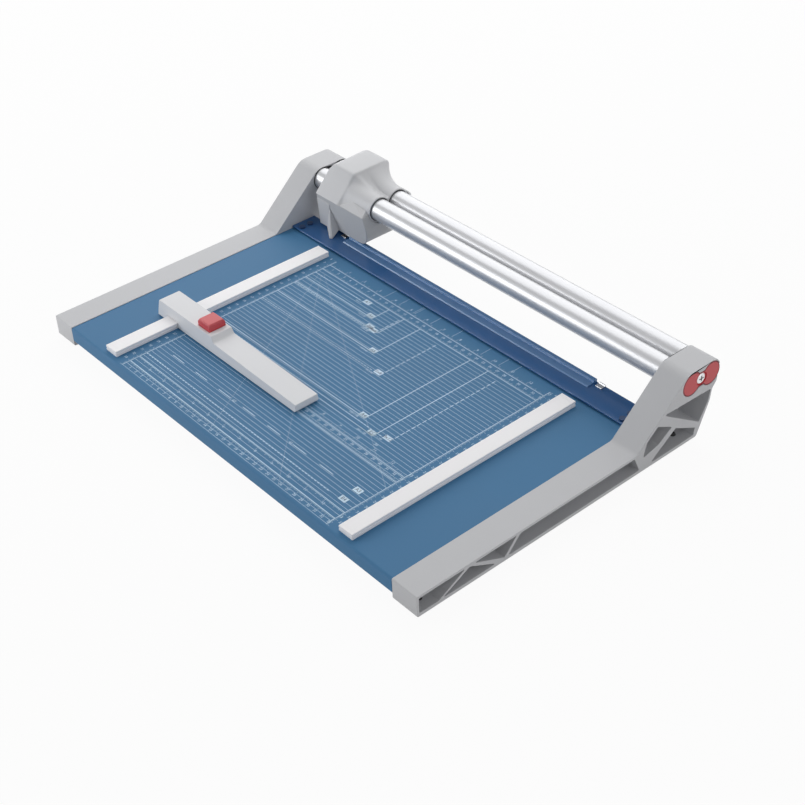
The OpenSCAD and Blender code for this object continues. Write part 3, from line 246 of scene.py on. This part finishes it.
# Scales: ticks and figures stand behind their line, or in front of it at the front edge.
mm_marks = ((10, 4 * mm), (5, 3 * mm), (1, 1.8 * mm))
inch_marks = ((16, 5 * mm), (8, 3.5 * mm), (4, 2.6 * mm), (1, 1.5 * mm))
inch_parts = 16
cm_figure_h, cm_figure_gap = 3 * mm, 6.6 * mm
inch_figure_h, inch_figure_gap, inch_figure_aside = 3.2 * mm, 6.2 * mm, 2 * mm
centimetres = int((scale_right - scale_left) / cm)
inches = int((scale_right - scale_left) / inch)
for y, way in ((rear_scale, 1), (middle_scale, 1), (front_scale, -1)):
    ticks(ink, (scale_left, y), (1, 0), (0, way), 1 * mm, centimetres * 10, mm_marks)
    for i in range(1, centimetres + 1):
        figures(ink, str(i), scale_left + i * cm, y + way * cm_figure_gap, cm_figure_h)
for y, way in ((rear_inches, 1), (middle_inches, 1), (front_inches, -1)):
    ticks(ink, (scale_left, y), (1, 0), (0, way), inch / inch_parts, inches * inch_parts, inch_marks)
    for i in range(1, inches + 1):
        figures(ink, str(i), scale_left + i * inch + inch_figure_aside, y + way * inch_figure_gap,
                inch_figure_h)

# Side scales: their figures start with 6 at the rear and grow towards the front.
side_first = 6
side_count = int(print_rear / cm)
for x, way, gap in ((scale_left, -1, 8.8 * mm), (scale_right, 1, 8 * mm)):
    ticks(ink, (x, print_front), (0, 1), (way, 0), 1 * mm, side_count * 10, mm_marks)
    for i in range(1, side_count + 1):
        figures(ink, str(side_count + side_first - i), x + way * gap, print_front + i * cm, cm_figure_h)

# Paper sizes: the depth of the line, where it ends, its label, and whether it is broken
label_w = 9.5 * mm
label_d = 6.6 * mm
label_h = 4 * mm
label_drop = 1 * mm
label_aside = {"B6": 1.6}
index_from, index_to = rear_scale + 14 * mm, rear_scale + 30 * mm
size_figure_h, size_figure_left, size_figure_front = 2.2 * mm, 13 * mm, 3.4 * mm
short_dash = (3 * mm, 1.6 * mm)
long_dash = (5 * mm, 2 * mm)
paper_sizes = (
    (254.4, -74.8, "A7", True), (240.7, -52.7, "A6", False), (225.4, -30.5, "4x6", True),
    (227.3, -28.2, "B6", False), (201.8, -3.0, "A5", False), (181.3, 29.7, "5x8", True),
    (125.8, 72.9, "A4", False), (113.6, 98.9, "B5", False), (119.3, 116.2, "8x12", True))
labels = bmesh.new()
for depth, reach, name, broken in paper_sizes:
    corner = (reach * mm, depth * mm)
    rear = (reach * mm, rear_scale)
    left = (scale_left, depth * mm)
    if broken:
        dashes(ink, left, (corner[0] - label_w, corner[1]), bold_line, *short_dash)
        dashes(ink, corner, rear, bold_line, *long_dash)
    else:
        stripe(ink, left, corner, bold_line)
        stripe(ink, corner, rear, bold_line)
    stripe(ink, (corner[0], index_from), (corner[0], index_to), fine_line)
    aside = label_w * label_aside.get(name, 0.5)
    middle = (corner[0] - aside, corner[1] + label_d / 2 - label_drop)
    stripe(ink, (middle[0] - label_w / 2, middle[1]), (middle[0] + label_w / 2, middle[1]), label_d)
    figures(labels, name, middle[0], middle[1], label_h, body=table_top + ink_t)
    figures(ink, f"{reach + left_reach:.0f} x {rear_scale / mm - depth:.0f}", corner[0] - size_figure_left,
            corner[1] - size_figure_front, size_figure_h)

# Rows in front: long dashes, a fine broken line, and the fields of the two largest sizes
dash_row, broken_row = 50.6 * mm, 33.2 * mm
field_left, field_right, field_mid = 145.5 * mm, 155 * mm, 150.2 * mm
dashes(ink, (-142.7 * mm, dash_row), (140 * mm, dash_row), bold_line, 20 * mm, 20 * mm)
dashes(ink, (scale_left, broken_row), (138 * mm, broken_row), bold_line, *short_dash)
for depth, name in ((53, "A3"), (36, "B4")):
    stripe(ink, (field_left, depth * mm), (field_right, depth * mm), label_d)
    figures(labels, name, field_mid, depth * mm, label_h, body=table_top + ink_t)

# Angle lines: hairlines from the rear left corner of the grid, each with its angle along it
ray_start = 12 * mm
ray_figure_share, ray_figure_aside, ray_figure_h = 0.82, 5 * mm, 3.4 * mm
for angle in (30, 45, 60):
    reach = min((scale_right - scale_left) / cos(radians(angle)),
                (rear_scale - print_front) / sin(radians(angle)))
    away = (cos(radians(angle)), -sin(radians(angle)))
    origin = Vector((scale_left, rear_scale))
    stripe(ink, origin + Vector(away) * ray_start, origin + Vector(away) * reach, hair_line)
    figures(ink, str(angle), origin.x + away[0] * reach * ray_figure_share + ray_figure_aside,
            origin.y + away[1] * reach * ray_figure_share, ray_figure_h)

white_ink = finish("white_ink", tone(206, 230, 248), 0.5, grain=0.6 * mm, depth=0.005 * mm, spread=0.08)
blue_ink = finish("blue_ink", tone(48, 80, 120), 0.45, grain=0.6 * mm, depth=0.005 * mm)
show("table_print", ink, white_ink, "base")
show("table_labels", labels, blue_ink, "base")

# Rails under the table: a hollow aluminium extrusion in front and a painted steel bar behind.
# Screws through the side frames hold them, and both are unseen from above.
rail_metal = finish("rail_aluminium", tone(190, 192, 195), 0.42, metal=1, grain=0.5 * mm, depth=0.01 * mm)
dress(rail_metal, "front_rail")
dress(finish("rail_paint", tone(58, 60, 64), 0.55), "blade_rail")

# Cutting edge: a strip of ground steel behind the table, held to the rear bar by countersunk
# screws. The rotary blade is ground from the same steel, and all hidden screws are zinc plated.
ground = finish("ground_steel", tone(196, 198, 202), 0.24, metal=1, grain=0.4 * mm, depth=0.008 * mm)
dress(ground, "lower_blade", "rotary_blade")
zinc = finish("zinc_steel", tone(205, 205, 206), 0.3, metal=1, grain=0.7 * mm, depth=0.01 * mm)
dress(zinc, "lower_blade_screws", "ruler_screws", "frame_screws", "table_screws", "hood_screws",
      "stop_screws")

# Guide tubes: two tubes of polished steel that the head slides on, pressed into the arms.
# A black ring round each end is painted shade, standing in for the shadow in the gap there.
tube_steel = finish("tube_steel", tone(204, 205, 208), 0.32, metal=0.45, grain=0.9 * mm,
                    depth=0.002 * mm, spread=0.02)
dress(tube_steel, "guide_tube_front", "guide_tube_rear")
front_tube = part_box("guide_tube_front")
rear_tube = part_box("guide_tube_rear")
axis_y = (front_tube[0].y + rear_tube[1].y) / 2
axis_z = (front_tube[0].z + front_tube[1].z) / 2
half_pitch = (rear_tube[0].y - front_tube[0].y) / 2
# Painted shade: the black rings at the tube ends stand in for the shadow in the gap round each tube.
dress(finish("tube_gap_painted_shade", tone(22, 22, 24), 0.6), "tube_rings")

# Tube caps: red mouldings of two lobes that cover the tube ends. Each is let into its arm and held
# by one bright cross-head screw. A thin dark ring just inside its outline is painted shadow for the gap round
# the cap.
red = finish("red_moulding", tone(204, 72, 78), 0.36, depth=0.012 * mm, spread=0.03)
red_cap = finish("red_cap", tone(196, 66, 72), 0.42, depth=0.012 * mm, spread=0.03)
for side in ("left", "right"):
    eased(f"tube_cap_{side}", f"cap_shell_{side}", 0.3 * mm, red_cap, "base")
dress(finish("bright_screw", tone(236, 236, 238), 0.3, metal=0.6, depth=0.01 * mm), "cap_screws")
cap_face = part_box("tube_cap_right")[1].x
cap_r = 12.5 * mm
cap_bar = 8 * mm
shadow_ring_profile = ((-0.2 * mm, 0.25 * mm), (0.05 * mm, 0.25 * mm), (0.05 * mm, 0.95 * mm),
                  (-0.2 * mm, 0.95 * mm))
shadow_ring_turns = [2 * pi * i / 96 for i in range(96)]


def lobes(angle, radius, bar):
    """Reach of two round lobes joined by a flat bar, seen from the middle between the tubes."""
    lobe = half_pitch * abs(cos(angle)) + sqrt(max(radius ** 2 - (half_pitch * sin(angle)) ** 2, 0))
    flat = bar / max(abs(sin(angle)), 0.001)
    return max(lobe, flat) if flat * abs(cos(angle)) < half_pitch else lobe


def ring(form, along, turns, reach):
    """A closed loop of edges round both tubes, with its place along them and its reach at each turn."""
    loop = [form.verts.new((x, axis_y + r * cos(a), axis_z + r * sin(a)))
            for x, a, r in zip(along, turns, reach)]
    return [form.edges.new((loop[i - 1], loop[i])) for i in range(len(loop))]


def walled(form, rings):
    """Walls from each ring to the next and from the last to the first."""
    for here, there in zip(rings, rings[1:] + rings[:1]):
        bmesh.ops.bridge_loops(form, edges=here + there)


# Painted shadow: a thin dark red ring on each cap's face stands in for the shade of the gap round the cap.
shadow_ring_form = bmesh.new()
for side in (-1, 1):
    walled(shadow_ring_form, [ring(shadow_ring_form, [side * (cap_face + proud)] * len(shadow_ring_turns), shadow_ring_turns,
                         [lobes(a, cap_r - inset, cap_bar - inset) for a in shadow_ring_turns])
                    for proud, inset in shadow_ring_profile])
bmesh.ops.recalc_face_normals(shadow_ring_form, faces=shadow_ring_form.faces)
show("cap_shadow_rings", shadow_ring_form, finish("cap_shadow", tone(96, 34, 44), 0.6), "base")

# Painted shade: a dark cross at the bottom of each cap screw's cross recess stands in for the shade inside it.
cross_l = 6.4 * mm
cross_w = 1.3 * mm
cross_t = 0.1 * mm
cross_sunk = 0.62 * mm
screw_low, screw_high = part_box("cap_screws")
cross = bmesh.new()
for side in (-1, 1):
    for tall, wide in ((cross_l, cross_w), (cross_w, cross_l)):
        place = Matrix.Translation((side * (screw_high.x - cross_sunk), (screw_low.y + screw_high.y) / 2,
                                    (screw_low.z + screw_high.z) / 2))
        bmesh.ops.create_cube(cross, size=1, matrix=place @ Matrix.Diagonal((cross_t, wide, tall, 1)))
show("cap_screw_recess_shade", cross, finish("recess_painted_shade", tone(30, 30, 33), 0.7), "base")

# Rulers: extruded bars with a white coat and a groove along each side for the back stop. Moulded
# caps close their ends, and screws from below hold them to the table.
white = finish("ruler_white", tone(250, 249, 251), 0.4, depth=0.01 * mm, spread=0.015)
for side in ("left", "right"):
    eased(f"ruler_{side}", f"ruler_bar_{side}", 0.2 * mm, white, "base")
dress(white, "ruler_end_caps")

# Clamp strip: a clear extrusion with a blue tint that holds the paper down along the cut. It lies
# just over the table on guided posts, with wave washers under it and a small steel tab near each end.
for name, colour, node in (("strip_sheet", tone(60, 112, 172), "clamp_strip"),
                           ("strip_band", tone(110, 158, 214), "strip_rail")):
    clear = finish(name, colour, 0.16, depth=0.004 * mm, spread=0.03)
    clear.node_tree.nodes["Principled BSDF"].inputs["Transmission Weight"].default_value = 0.3
    clear.node_tree.nodes["Principled BSDF"].inputs["IOR"].default_value = 1.49
    dress(clear, node)
bright = finish("bright_steel", tone(214, 215, 218), 0.22, metal=1, depth=0.006 * mm)
dress(bright, "strip_clips", "blade_axle", "button_stem")
dress(finish("blued_steel", tone(40, 66, 104), 0.4, metal=0.3, depth=0.006 * mm), "strip_posts")
dress(finish("spring_steel", tone(160, 162, 166), 0.35, metal=1), "strip_springs", "blade_spring",
      "button_spring")

# Cutting head: a light grey hood over a darker skirt, screwed together round the tubes. The hood is one
# moulding: a block with a sloping front that flares in to a two-lobed socket round both tubes.
hood_grey = finish("hood_moulding", tone(206, 207, 210), 0.46, spread=0.015)
hood_low, hood_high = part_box("head_hood")
block_w = 41 * mm
x0, crease, x1 = hood_low.x, hood_low.x + block_w, hood_high.x
flare_w = x1 - x0 - block_w
front_reach = axis_y - hood_low.y
rear_reach = hood_high.y - axis_y - 0.5 * mm
top_h = hood_high.z - axis_z
seam_drop = 2.5 * mm
slope_run = 26 * mm
soft_edge = 6 * mm
socket_r = 15 * mm
socket_bar = 9.5 * mm
mouth_r = 13.2 * mm
mouth_bar = 2.6 * mm
mouth_chamfer = 0.4 * mm
left_mouth_r = 12.9 * mm
nest_r = 14.25 * mm
nest_bar = 8.15 * mm
lip = 4 * mm
rim_round = 0.5 * mm

# The block's crease with the flare: how far ahead of it each ring lies, and how much it is sunk
shoulder = ((4, 0), (2.96, 0.14), (2, 0.54), (1.17, 1.17), (0.5, 1.87))
shoulder_drop = 2.35 * mm
flare_power = 2.4
flare_steps = 16


def softened(before, corner, after, radius, steps):
    """Points of the arc that rounds a corner of a flat outline."""
    corner = Vector(corner)
    u, w = (Vector(before) - corner).normalized(), (Vector(after) - corner).normalized()
    half = u.angle(w) / 2
    centre = corner + (u + w).normalized() * radius / sin(half)
    first = corner + u * radius * cos(half) / sin(half) - centre
    last = corner + w * radius * cos(half) / sin(half) - centre
    return [centre + first.normalized().slerp(last.normalized(), i / steps) * radius for i in range(steps + 1)]


def filled(points, step):
    """The same outline with points added along its long straight runs."""
    made = []
    for here, there in zip(points, points[1:]):
        count = max(int((there - here).length / step), 1)
        made += [here.lerp(there, i / count) for i in range(count)]
    return made + [points[-1]]


# Outline of the block from behind, rear seam over the top to front seam, then the half below the seam
rear_low, rear_top = Vector((rear_reach, -seam_drop)), Vector((rear_reach, top_h))
front_top, front_low = Vector((slope_run - front_reach, top_h)), Vector((-front_reach, -seam_drop))
crown = filled([rear_low, *softened(rear_low, rear_top, front_top, soft_edge, 6),
                *softened(rear_top, front_top, front_low, soft_edge, 5), front_low], 2 * mm)
crown_reach = [p.length for p in crown]
under = atan2(seam_drop, half_pitch + sqrt(socket_r ** 2 - seam_drop ** 2))
under_steps = 48
angles = [atan2(p.y, p.x) for p in crown]
angles = [a if a > -pi / 2 else a + 2 * pi for a in angles]
angles += [pi + under + (pi - 2 * under) * i / under_steps for i in range(under_steps + 1)]
below = angles[len(crown):]
collar = [lobes(a, mouth_r, mouth_bar + mouth_r - left_mouth_r) for a in below]

# Left end: the radius of its rounding in mm by direction, larger on top than in front
end_radii = ((-pi, 4), (atan2(top_h, rear_reach), 7), (pi / 2, 7), (atan2(top_h, slope_run - front_reach), 8),
             (pi * 0.72, 2.6), (pi + 0.05, 1.2), (3 * pi, 1.2))
collar_round = 0.9 * mm
end_steps = 6


def end_radius(angle):
    """Radius of the left end's rounding in one direction."""
    (a0, r0), (a1, r1) = next(pair for pair in zip(end_radii, end_radii[1:]) if angle < pair[1][0])
    return (r0 + (r1 - r0) * (angle - a0) / (a1 - a0)) * mm


def left_ring(turn):
    """One ring of the rounded left end, from 0 at its face to pi / 2 at its side."""
    radii = [end_radius(a) for a in angles[:len(crown)]]
    reach = [r - inset * (1 - sin(turn)) for r, inset in zip(crown_reach, radii)]
    return [x0 + r * (1 - cos(turn)) for r in radii + [collar_round] * len(below)], reach + collar


def flare_ring(x, t, inset=0.0):
    """One ring of the flare, from the block at t = 0 to the socket at t = 1, sunk by the inset."""
    socket = [lobes(a, socket_r, socket_bar) for a in angles]
    wide = [r - inset * min(1, max(r - s, 0) * 0.3 / shoulder_drop) for s, r in zip(socket, crown_reach)]
    wide += [0] * len(below)
    return [x] * len(angles), [s + max(r - s, 0) * (1 - t) ** flare_power for s, r in zip(socket, wide)]


def bore_ring(x, radius, bar):
    """One ring of the bore round both tubes."""
    return [x] * len(angles), [lobes(a, radius, bar) for a in angles]


low_step = [x0 + 3.8 * mm] * len(below)
stations = [left_ring(pi / 2 * i / end_steps) for i in range(end_steps + 1)]
stations += [([x0 + 8.1 * mm] * len(crown) + low_step, crown_reach + collar),
             ([x0 + 8.3 * mm] * len(crown) + low_step, flare_ring(x0, 0)[1])]
stations += [flare_ring(crease - back * mm, 0, down * mm) for back, down in shoulder]
stations += [flare_ring(crease + flare_w * i / flare_steps, i / flare_steps, shoulder_drop)
             for i in range(flare_steps)]
stations += [flare_ring(x1 - rim_round, 1), ([x1] * len(angles), [r - rim_round for r in flare_ring(x1, 1)[1]]),
             bore_ring(x1, mouth_r + mouth_chamfer, mouth_bar + mouth_chamfer),
             bore_ring(x1 - mouth_chamfer, mouth_r, mouth_bar), bore_ring(x1 - lip, mouth_r, mouth_bar),
             bore_ring(x1 - lip, nest_r, nest_bar), bore_ring(x0 + lip, nest_r, nest_bar),
             bore_ring(x0 + lip, left_mouth_r, mouth_bar - 0.1 * mm),
             bore_ring(x0, left_mouth_r, mouth_bar - 0.1 * mm)]
hood = bmesh.new()
walled(hood, [ring(hood, along, angles, reach) for along, reach in stations])
bmesh.ops.remove_doubles(hood, verts=hood.verts, dist=0.005 * mm)
bmesh.ops.recalc_face_normals(hood, faces=hood.faces)
shade_round(hood, radians(30))
hood_shell = show("hood_shell", hood, hood_grey, "cutting_head")
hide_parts("head_hood")

# Gussets: low wedges of the hood's moulding that fill the corners between the flare and the seam,
# front and rear. The rear one is shorter and reaches down inside the skirt, whose corner is round there.
gusset_round = 0.6 * mm
ridge = ((crease + 15 * mm, 28.5 * mm, 5 * mm), (x1 - 6 * mm, 27.6 * mm, 2.5 * mm))
inner_foot = ((crease + 2 * mm, 30 * mm), (x1 - 2 * mm, 27.4 * mm))
front_foot = ((crease, front_reach - 0.3 * mm), (x1 - 1.4 * mm, front_reach - 0.6 * mm))
rear_foot = ((crease - 3 * mm, rear_reach - 0.3 * mm), (x1 - 10.4 * mm, rear_reach - 2.6 * mm))
for name, side, outer_foot, foot in (("gusset_front", -1, front_foot, -seam_drop),
                                     ("gusset_rear", 1, rear_foot, -seam_drop - 2.5 * mm)):
    gusset = bmesh.new()
    for x, out, up in ((*outer_foot[0], foot), (*outer_foot[1], foot), ridge[0],
                       (*inner_foot[0], foot), (*inner_foot[1], foot), ridge[1]):
        gusset.verts.new((x, axis_y + side * out, axis_z + up))
    bmesh.ops.convex_hull(gusset, input=gusset.verts)
    bmesh.ops.bevel(gusset, geom=gusset.edges, offset=gusset_round, segments=3, profile=0.5,
                    affect="EDGES", material=-1)
    bmesh.ops.recalc_face_normals(gusset, faces=gusset.faces)
    show(name, gusset, hood_grey, "cutting_head")

# Mouth rings: thin black rings in the mouths of the hood, one round each tube at either end.
# They are painted shade, standing in for the dark gap between the hood and the tubes.
# Painted shade: the rings' black stands in for the shadow in the gap at each mouth.
mouth_shade_paint = finish("mouth_painted_shade", tone(16, 16, 18), 0.9, grain=0.5 * mm, depth=0.1 * mm)
shade_ring_w = 2 * mm
shade_ring_inner_r = 12.6 * mm
shade_ring_outer_r = 12.85 * mm
shade_ring_sunk = 0.3 * mm
mouth_shade_rings = bmesh.new()
for y in (axis_y - half_pitch, axis_y + half_pitch):
    for x in (x0 + shade_ring_sunk, x1 - shade_ring_sunk - shade_ring_w):
        rings = []
        for at, radius in ((x, shade_ring_inner_r), (x, shade_ring_outer_r), (x + shade_ring_w, shade_ring_outer_r),
                           (x + shade_ring_w, shade_ring_inner_r)):
            turn = Matrix.Translation((at, y, axis_z)) @ Matrix.Rotation(pi / 2, 4, "Y")
            loop = bmesh.ops.create_circle(mouth_shade_rings, segments=64, radius=radius, matrix=turn)["verts"]
            rings.append(list({e for v in loop for e in v.link_edges}))
        walled(mouth_shade_rings, rings)
bmesh.ops.recalc_face_normals(mouth_shade_rings, faces=mouth_shade_rings.faces)
show("mouth_shade_rings", mouth_shade_rings, mouth_shade_paint, "cutting_head")

# Skirt: the lower shell of the head, a darker moulding round the blade that is screwed to the hood.
# A finger in front of it runs on the strip and presses it down on the paper. Its grey is lighter than the
# skirt's, partly as painted light for the light on its ramp.
skirt_grey = finish("skirt_moulding", tone(188, 189, 191), 0.5, spread=0.02)


def rear_corner(form):
    """Rounds the skirt's rear right corner as seen from above."""
    run, cut, steps = 14 * mm, 9 * mm, 6
    start, rear_wall = x1 - run, axis_y + 30 * mm
    for i in range(steps + 1):
        bmesh.ops.bisect_plane(form, geom=list(form.verts) + list(form.edges) + list(form.faces),
                               dist=0.001 * mm, plane_co=(start + run * i / steps, 0, 0), plane_no=(1, 0, 0))
    for v in form.verts:
        if v.co.y > rear_wall and v.co.x > start:
            v.co.y -= cut * min((v.co.x - start) / run, 1) ** 3


eased("head_skirt", "skirt_shell", 0.7 * mm, skirt_grey, "cutting_head", steps=3,
      reshape=rear_corner)
# Partly painted light: the finger's grey is set lighter to stand in for the light falling on its ramp.
dress(finish("finger_moulding_painted_light", tone(200, 201, 204), 0.45, spread=0.02), "presser_finger")

# Inside the head: a black carrier with the blade's hub, and two slide bushings of pale plastic that
# run on the tubes. The shoe and the cover of the back stop are moulded in the same black.
black = finish("black_moulding", tone(44, 45, 48), 0.55)
dress(black, "blade_carrier", "blade_hub", "stop_shoe", "stop_cover")
dress(finish("bushing_ivory", tone(222, 214, 192), 0.5), "bushing_left", "bushing_right")

# Back stop: a pale grey moulding that rides on the left ruler and reaches over the table. A red
# button in its block frees the shoe that grips the ruler.
pale = finish("stop_moulding", tone(224, 225, 228), 0.42, spread=0.015)
eased("stop_body", "stop_shell", 0.4 * mm, pale, "back_stop")
eased("release_button", "button_key", 0.6 * mm, red, "clamp_button")

# Floor: a plain pale sheet that keeps the shadow of the machine. The camera, gloss and glass see
# most of it as an even white backdrop.
floor_mesh = bpy.data.meshes.new("floor")
sheet = bmesh.new()
bmesh.ops.create_grid(sheet, x_segments=1, y_segments=1, size=20)
sheet.to_mesh(floor_mesh)
sheet.free()
floor = bpy.data.objects.new("floor", floor_mesh)
bpy.context.scene.collection.objects.link(floor)
paper = bpy.data.materials.new("floor_paper")
paper.use_nodes = True
paper_nodes = paper.node_tree.nodes
paper_link = paper.node_tree.links.new
matt = paper_nodes["Principled BSDF"]
matt.inputs["Base Color"].default_value = (0.8, 0.8, 0.8, 1)
matt.inputs["Roughness"].default_value = 0.9
matt.inputs["Specular IOR Level"].default_value = 0.1
glow = paper_nodes.new("ShaderNodeEmission")
blend = paper_nodes.new("ShaderNodeMixShader")


def seen_share(tree, amount):
    """The share of a white backdrop that the camera, gloss and glass see."""
    path = tree.nodes.new("ShaderNodeLightPath")
    eye = tree.nodes.new("ShaderNodeMath")
    eye.operation = "MAXIMUM"
    both = tree.nodes.new("ShaderNodeMath")
    both.operation = "MAXIMUM"
    share = tree.nodes.new("ShaderNodeMath")
    share.operation = "MULTIPLY"
    share.inputs[1].default_value = amount
    tree.links.new(path.outputs["Is Camera Ray"], eye.inputs[0])
    tree.links.new(path.outputs["Is Glossy Ray"], eye.inputs[1])
    tree.links.new(eye.outputs["Value"], both.inputs[0])
    tree.links.new(path.outputs["Is Transmission Ray"], both.inputs[1])
    tree.links.new(both.outputs["Value"], share.inputs[0])
    return share.outputs["Value"]


paper_link(seen_share(paper.node_tree, 0.94), blend.inputs["Fac"])
paper_link(matt.outputs["BSDF"], blend.inputs[1])
paper_link(glow.outputs["Emission"], blend.inputs[2])
paper_link(blend.outputs["Shader"], paper_nodes["Material Output"].inputs["Surface"])
floor_mesh.materials.append(paper)

# Light: an even white room and three broad soft lamps. The key lamp stands behind the machine on
# the left, a second one low in front of it on the left, and a weak one on the right.
world = bpy.data.worlds.new("room")
world.use_nodes = True
room = world.node_tree
dim_room = room.nodes["Background"]
dim_room.inputs["Color"].default_value = (1, 1, 1, 1)
dim_room.inputs["Strength"].default_value = 0.31
bright_room = room.nodes.new("ShaderNodeBackground")
bright_room.inputs["Strength"].default_value = 1
room_mix = room.nodes.new("ShaderNodeMixShader")
room.links.new(seen_share(room, 1), room_mix.inputs["Fac"])
room.links.new(dim_room.outputs["Background"], room_mix.inputs[1])
room.links.new(bright_room.outputs["Background"], room_mix.inputs[2])
room.links.new(room_mix.outputs["Shader"], room.nodes["World Output"].inputs["Surface"])
bpy.context.scene.world = world


def lamp(name, place, target, width, depth, power):
    """A rectangular soft lamp that faces a point."""
    light = bpy.data.lights.new(name, "AREA")
    light.shape = "RECTANGLE"
    light.size = width
    light.size_y = depth
    light.energy = power
    holder = bpy.data.objects.new(name, light)
    holder.location = place
    holder.rotation_euler = (Vector(target) - Vector(place)).to_track_quat("-Z", "Y").to_euler()
    bpy.context.scene.collection.objects.link(holder)


lamp("key_lamp", place=(-1.1, 1.2, 1.3), target=(0, 0, 0), width=2.6, depth=2.6, power=33)
lamp("front_lamp", place=(-1.5, -1.5, 0.6), target=(0, 0, 0), width=1.6, depth=1.1, power=20)
lamp("right_lamp", place=(2.4, 0.5, 0.9), target=(0, 0, 0.05), width=2.0, depth=2.0, power=12)

# Camera: to the right and in front of the machine, looking down on it, as in the photograph. Its
# place, its turns in radians and its lens were fitted to the printed scales of the table.
camera_place = (0.98877, -0.78319, 0.92384)
camera_heading = 0.8793
camera_dip = 0.6501
camera_roll = -0.0412
view = bpy.data.cameras.new("view")
view.sensor_width = 36
view.lens = 68.32
camera = bpy.data.objects.new("view", view)
heading = Matrix.Rotation(camera_heading, 4, "Z")
dip = Matrix.Rotation(pi / 2 - camera_dip, 4, "X")
roll = Matrix.Rotation(camera_roll, 4, "Z")
camera.matrix_world = Matrix.Translation(camera_place) @ heading @ dip @ roll
bpy.context.scene.collection.objects.link(camera)
bpy.context.scene.camera = camera
bpy.context.scene.view_settings.view_transform = "Standard"
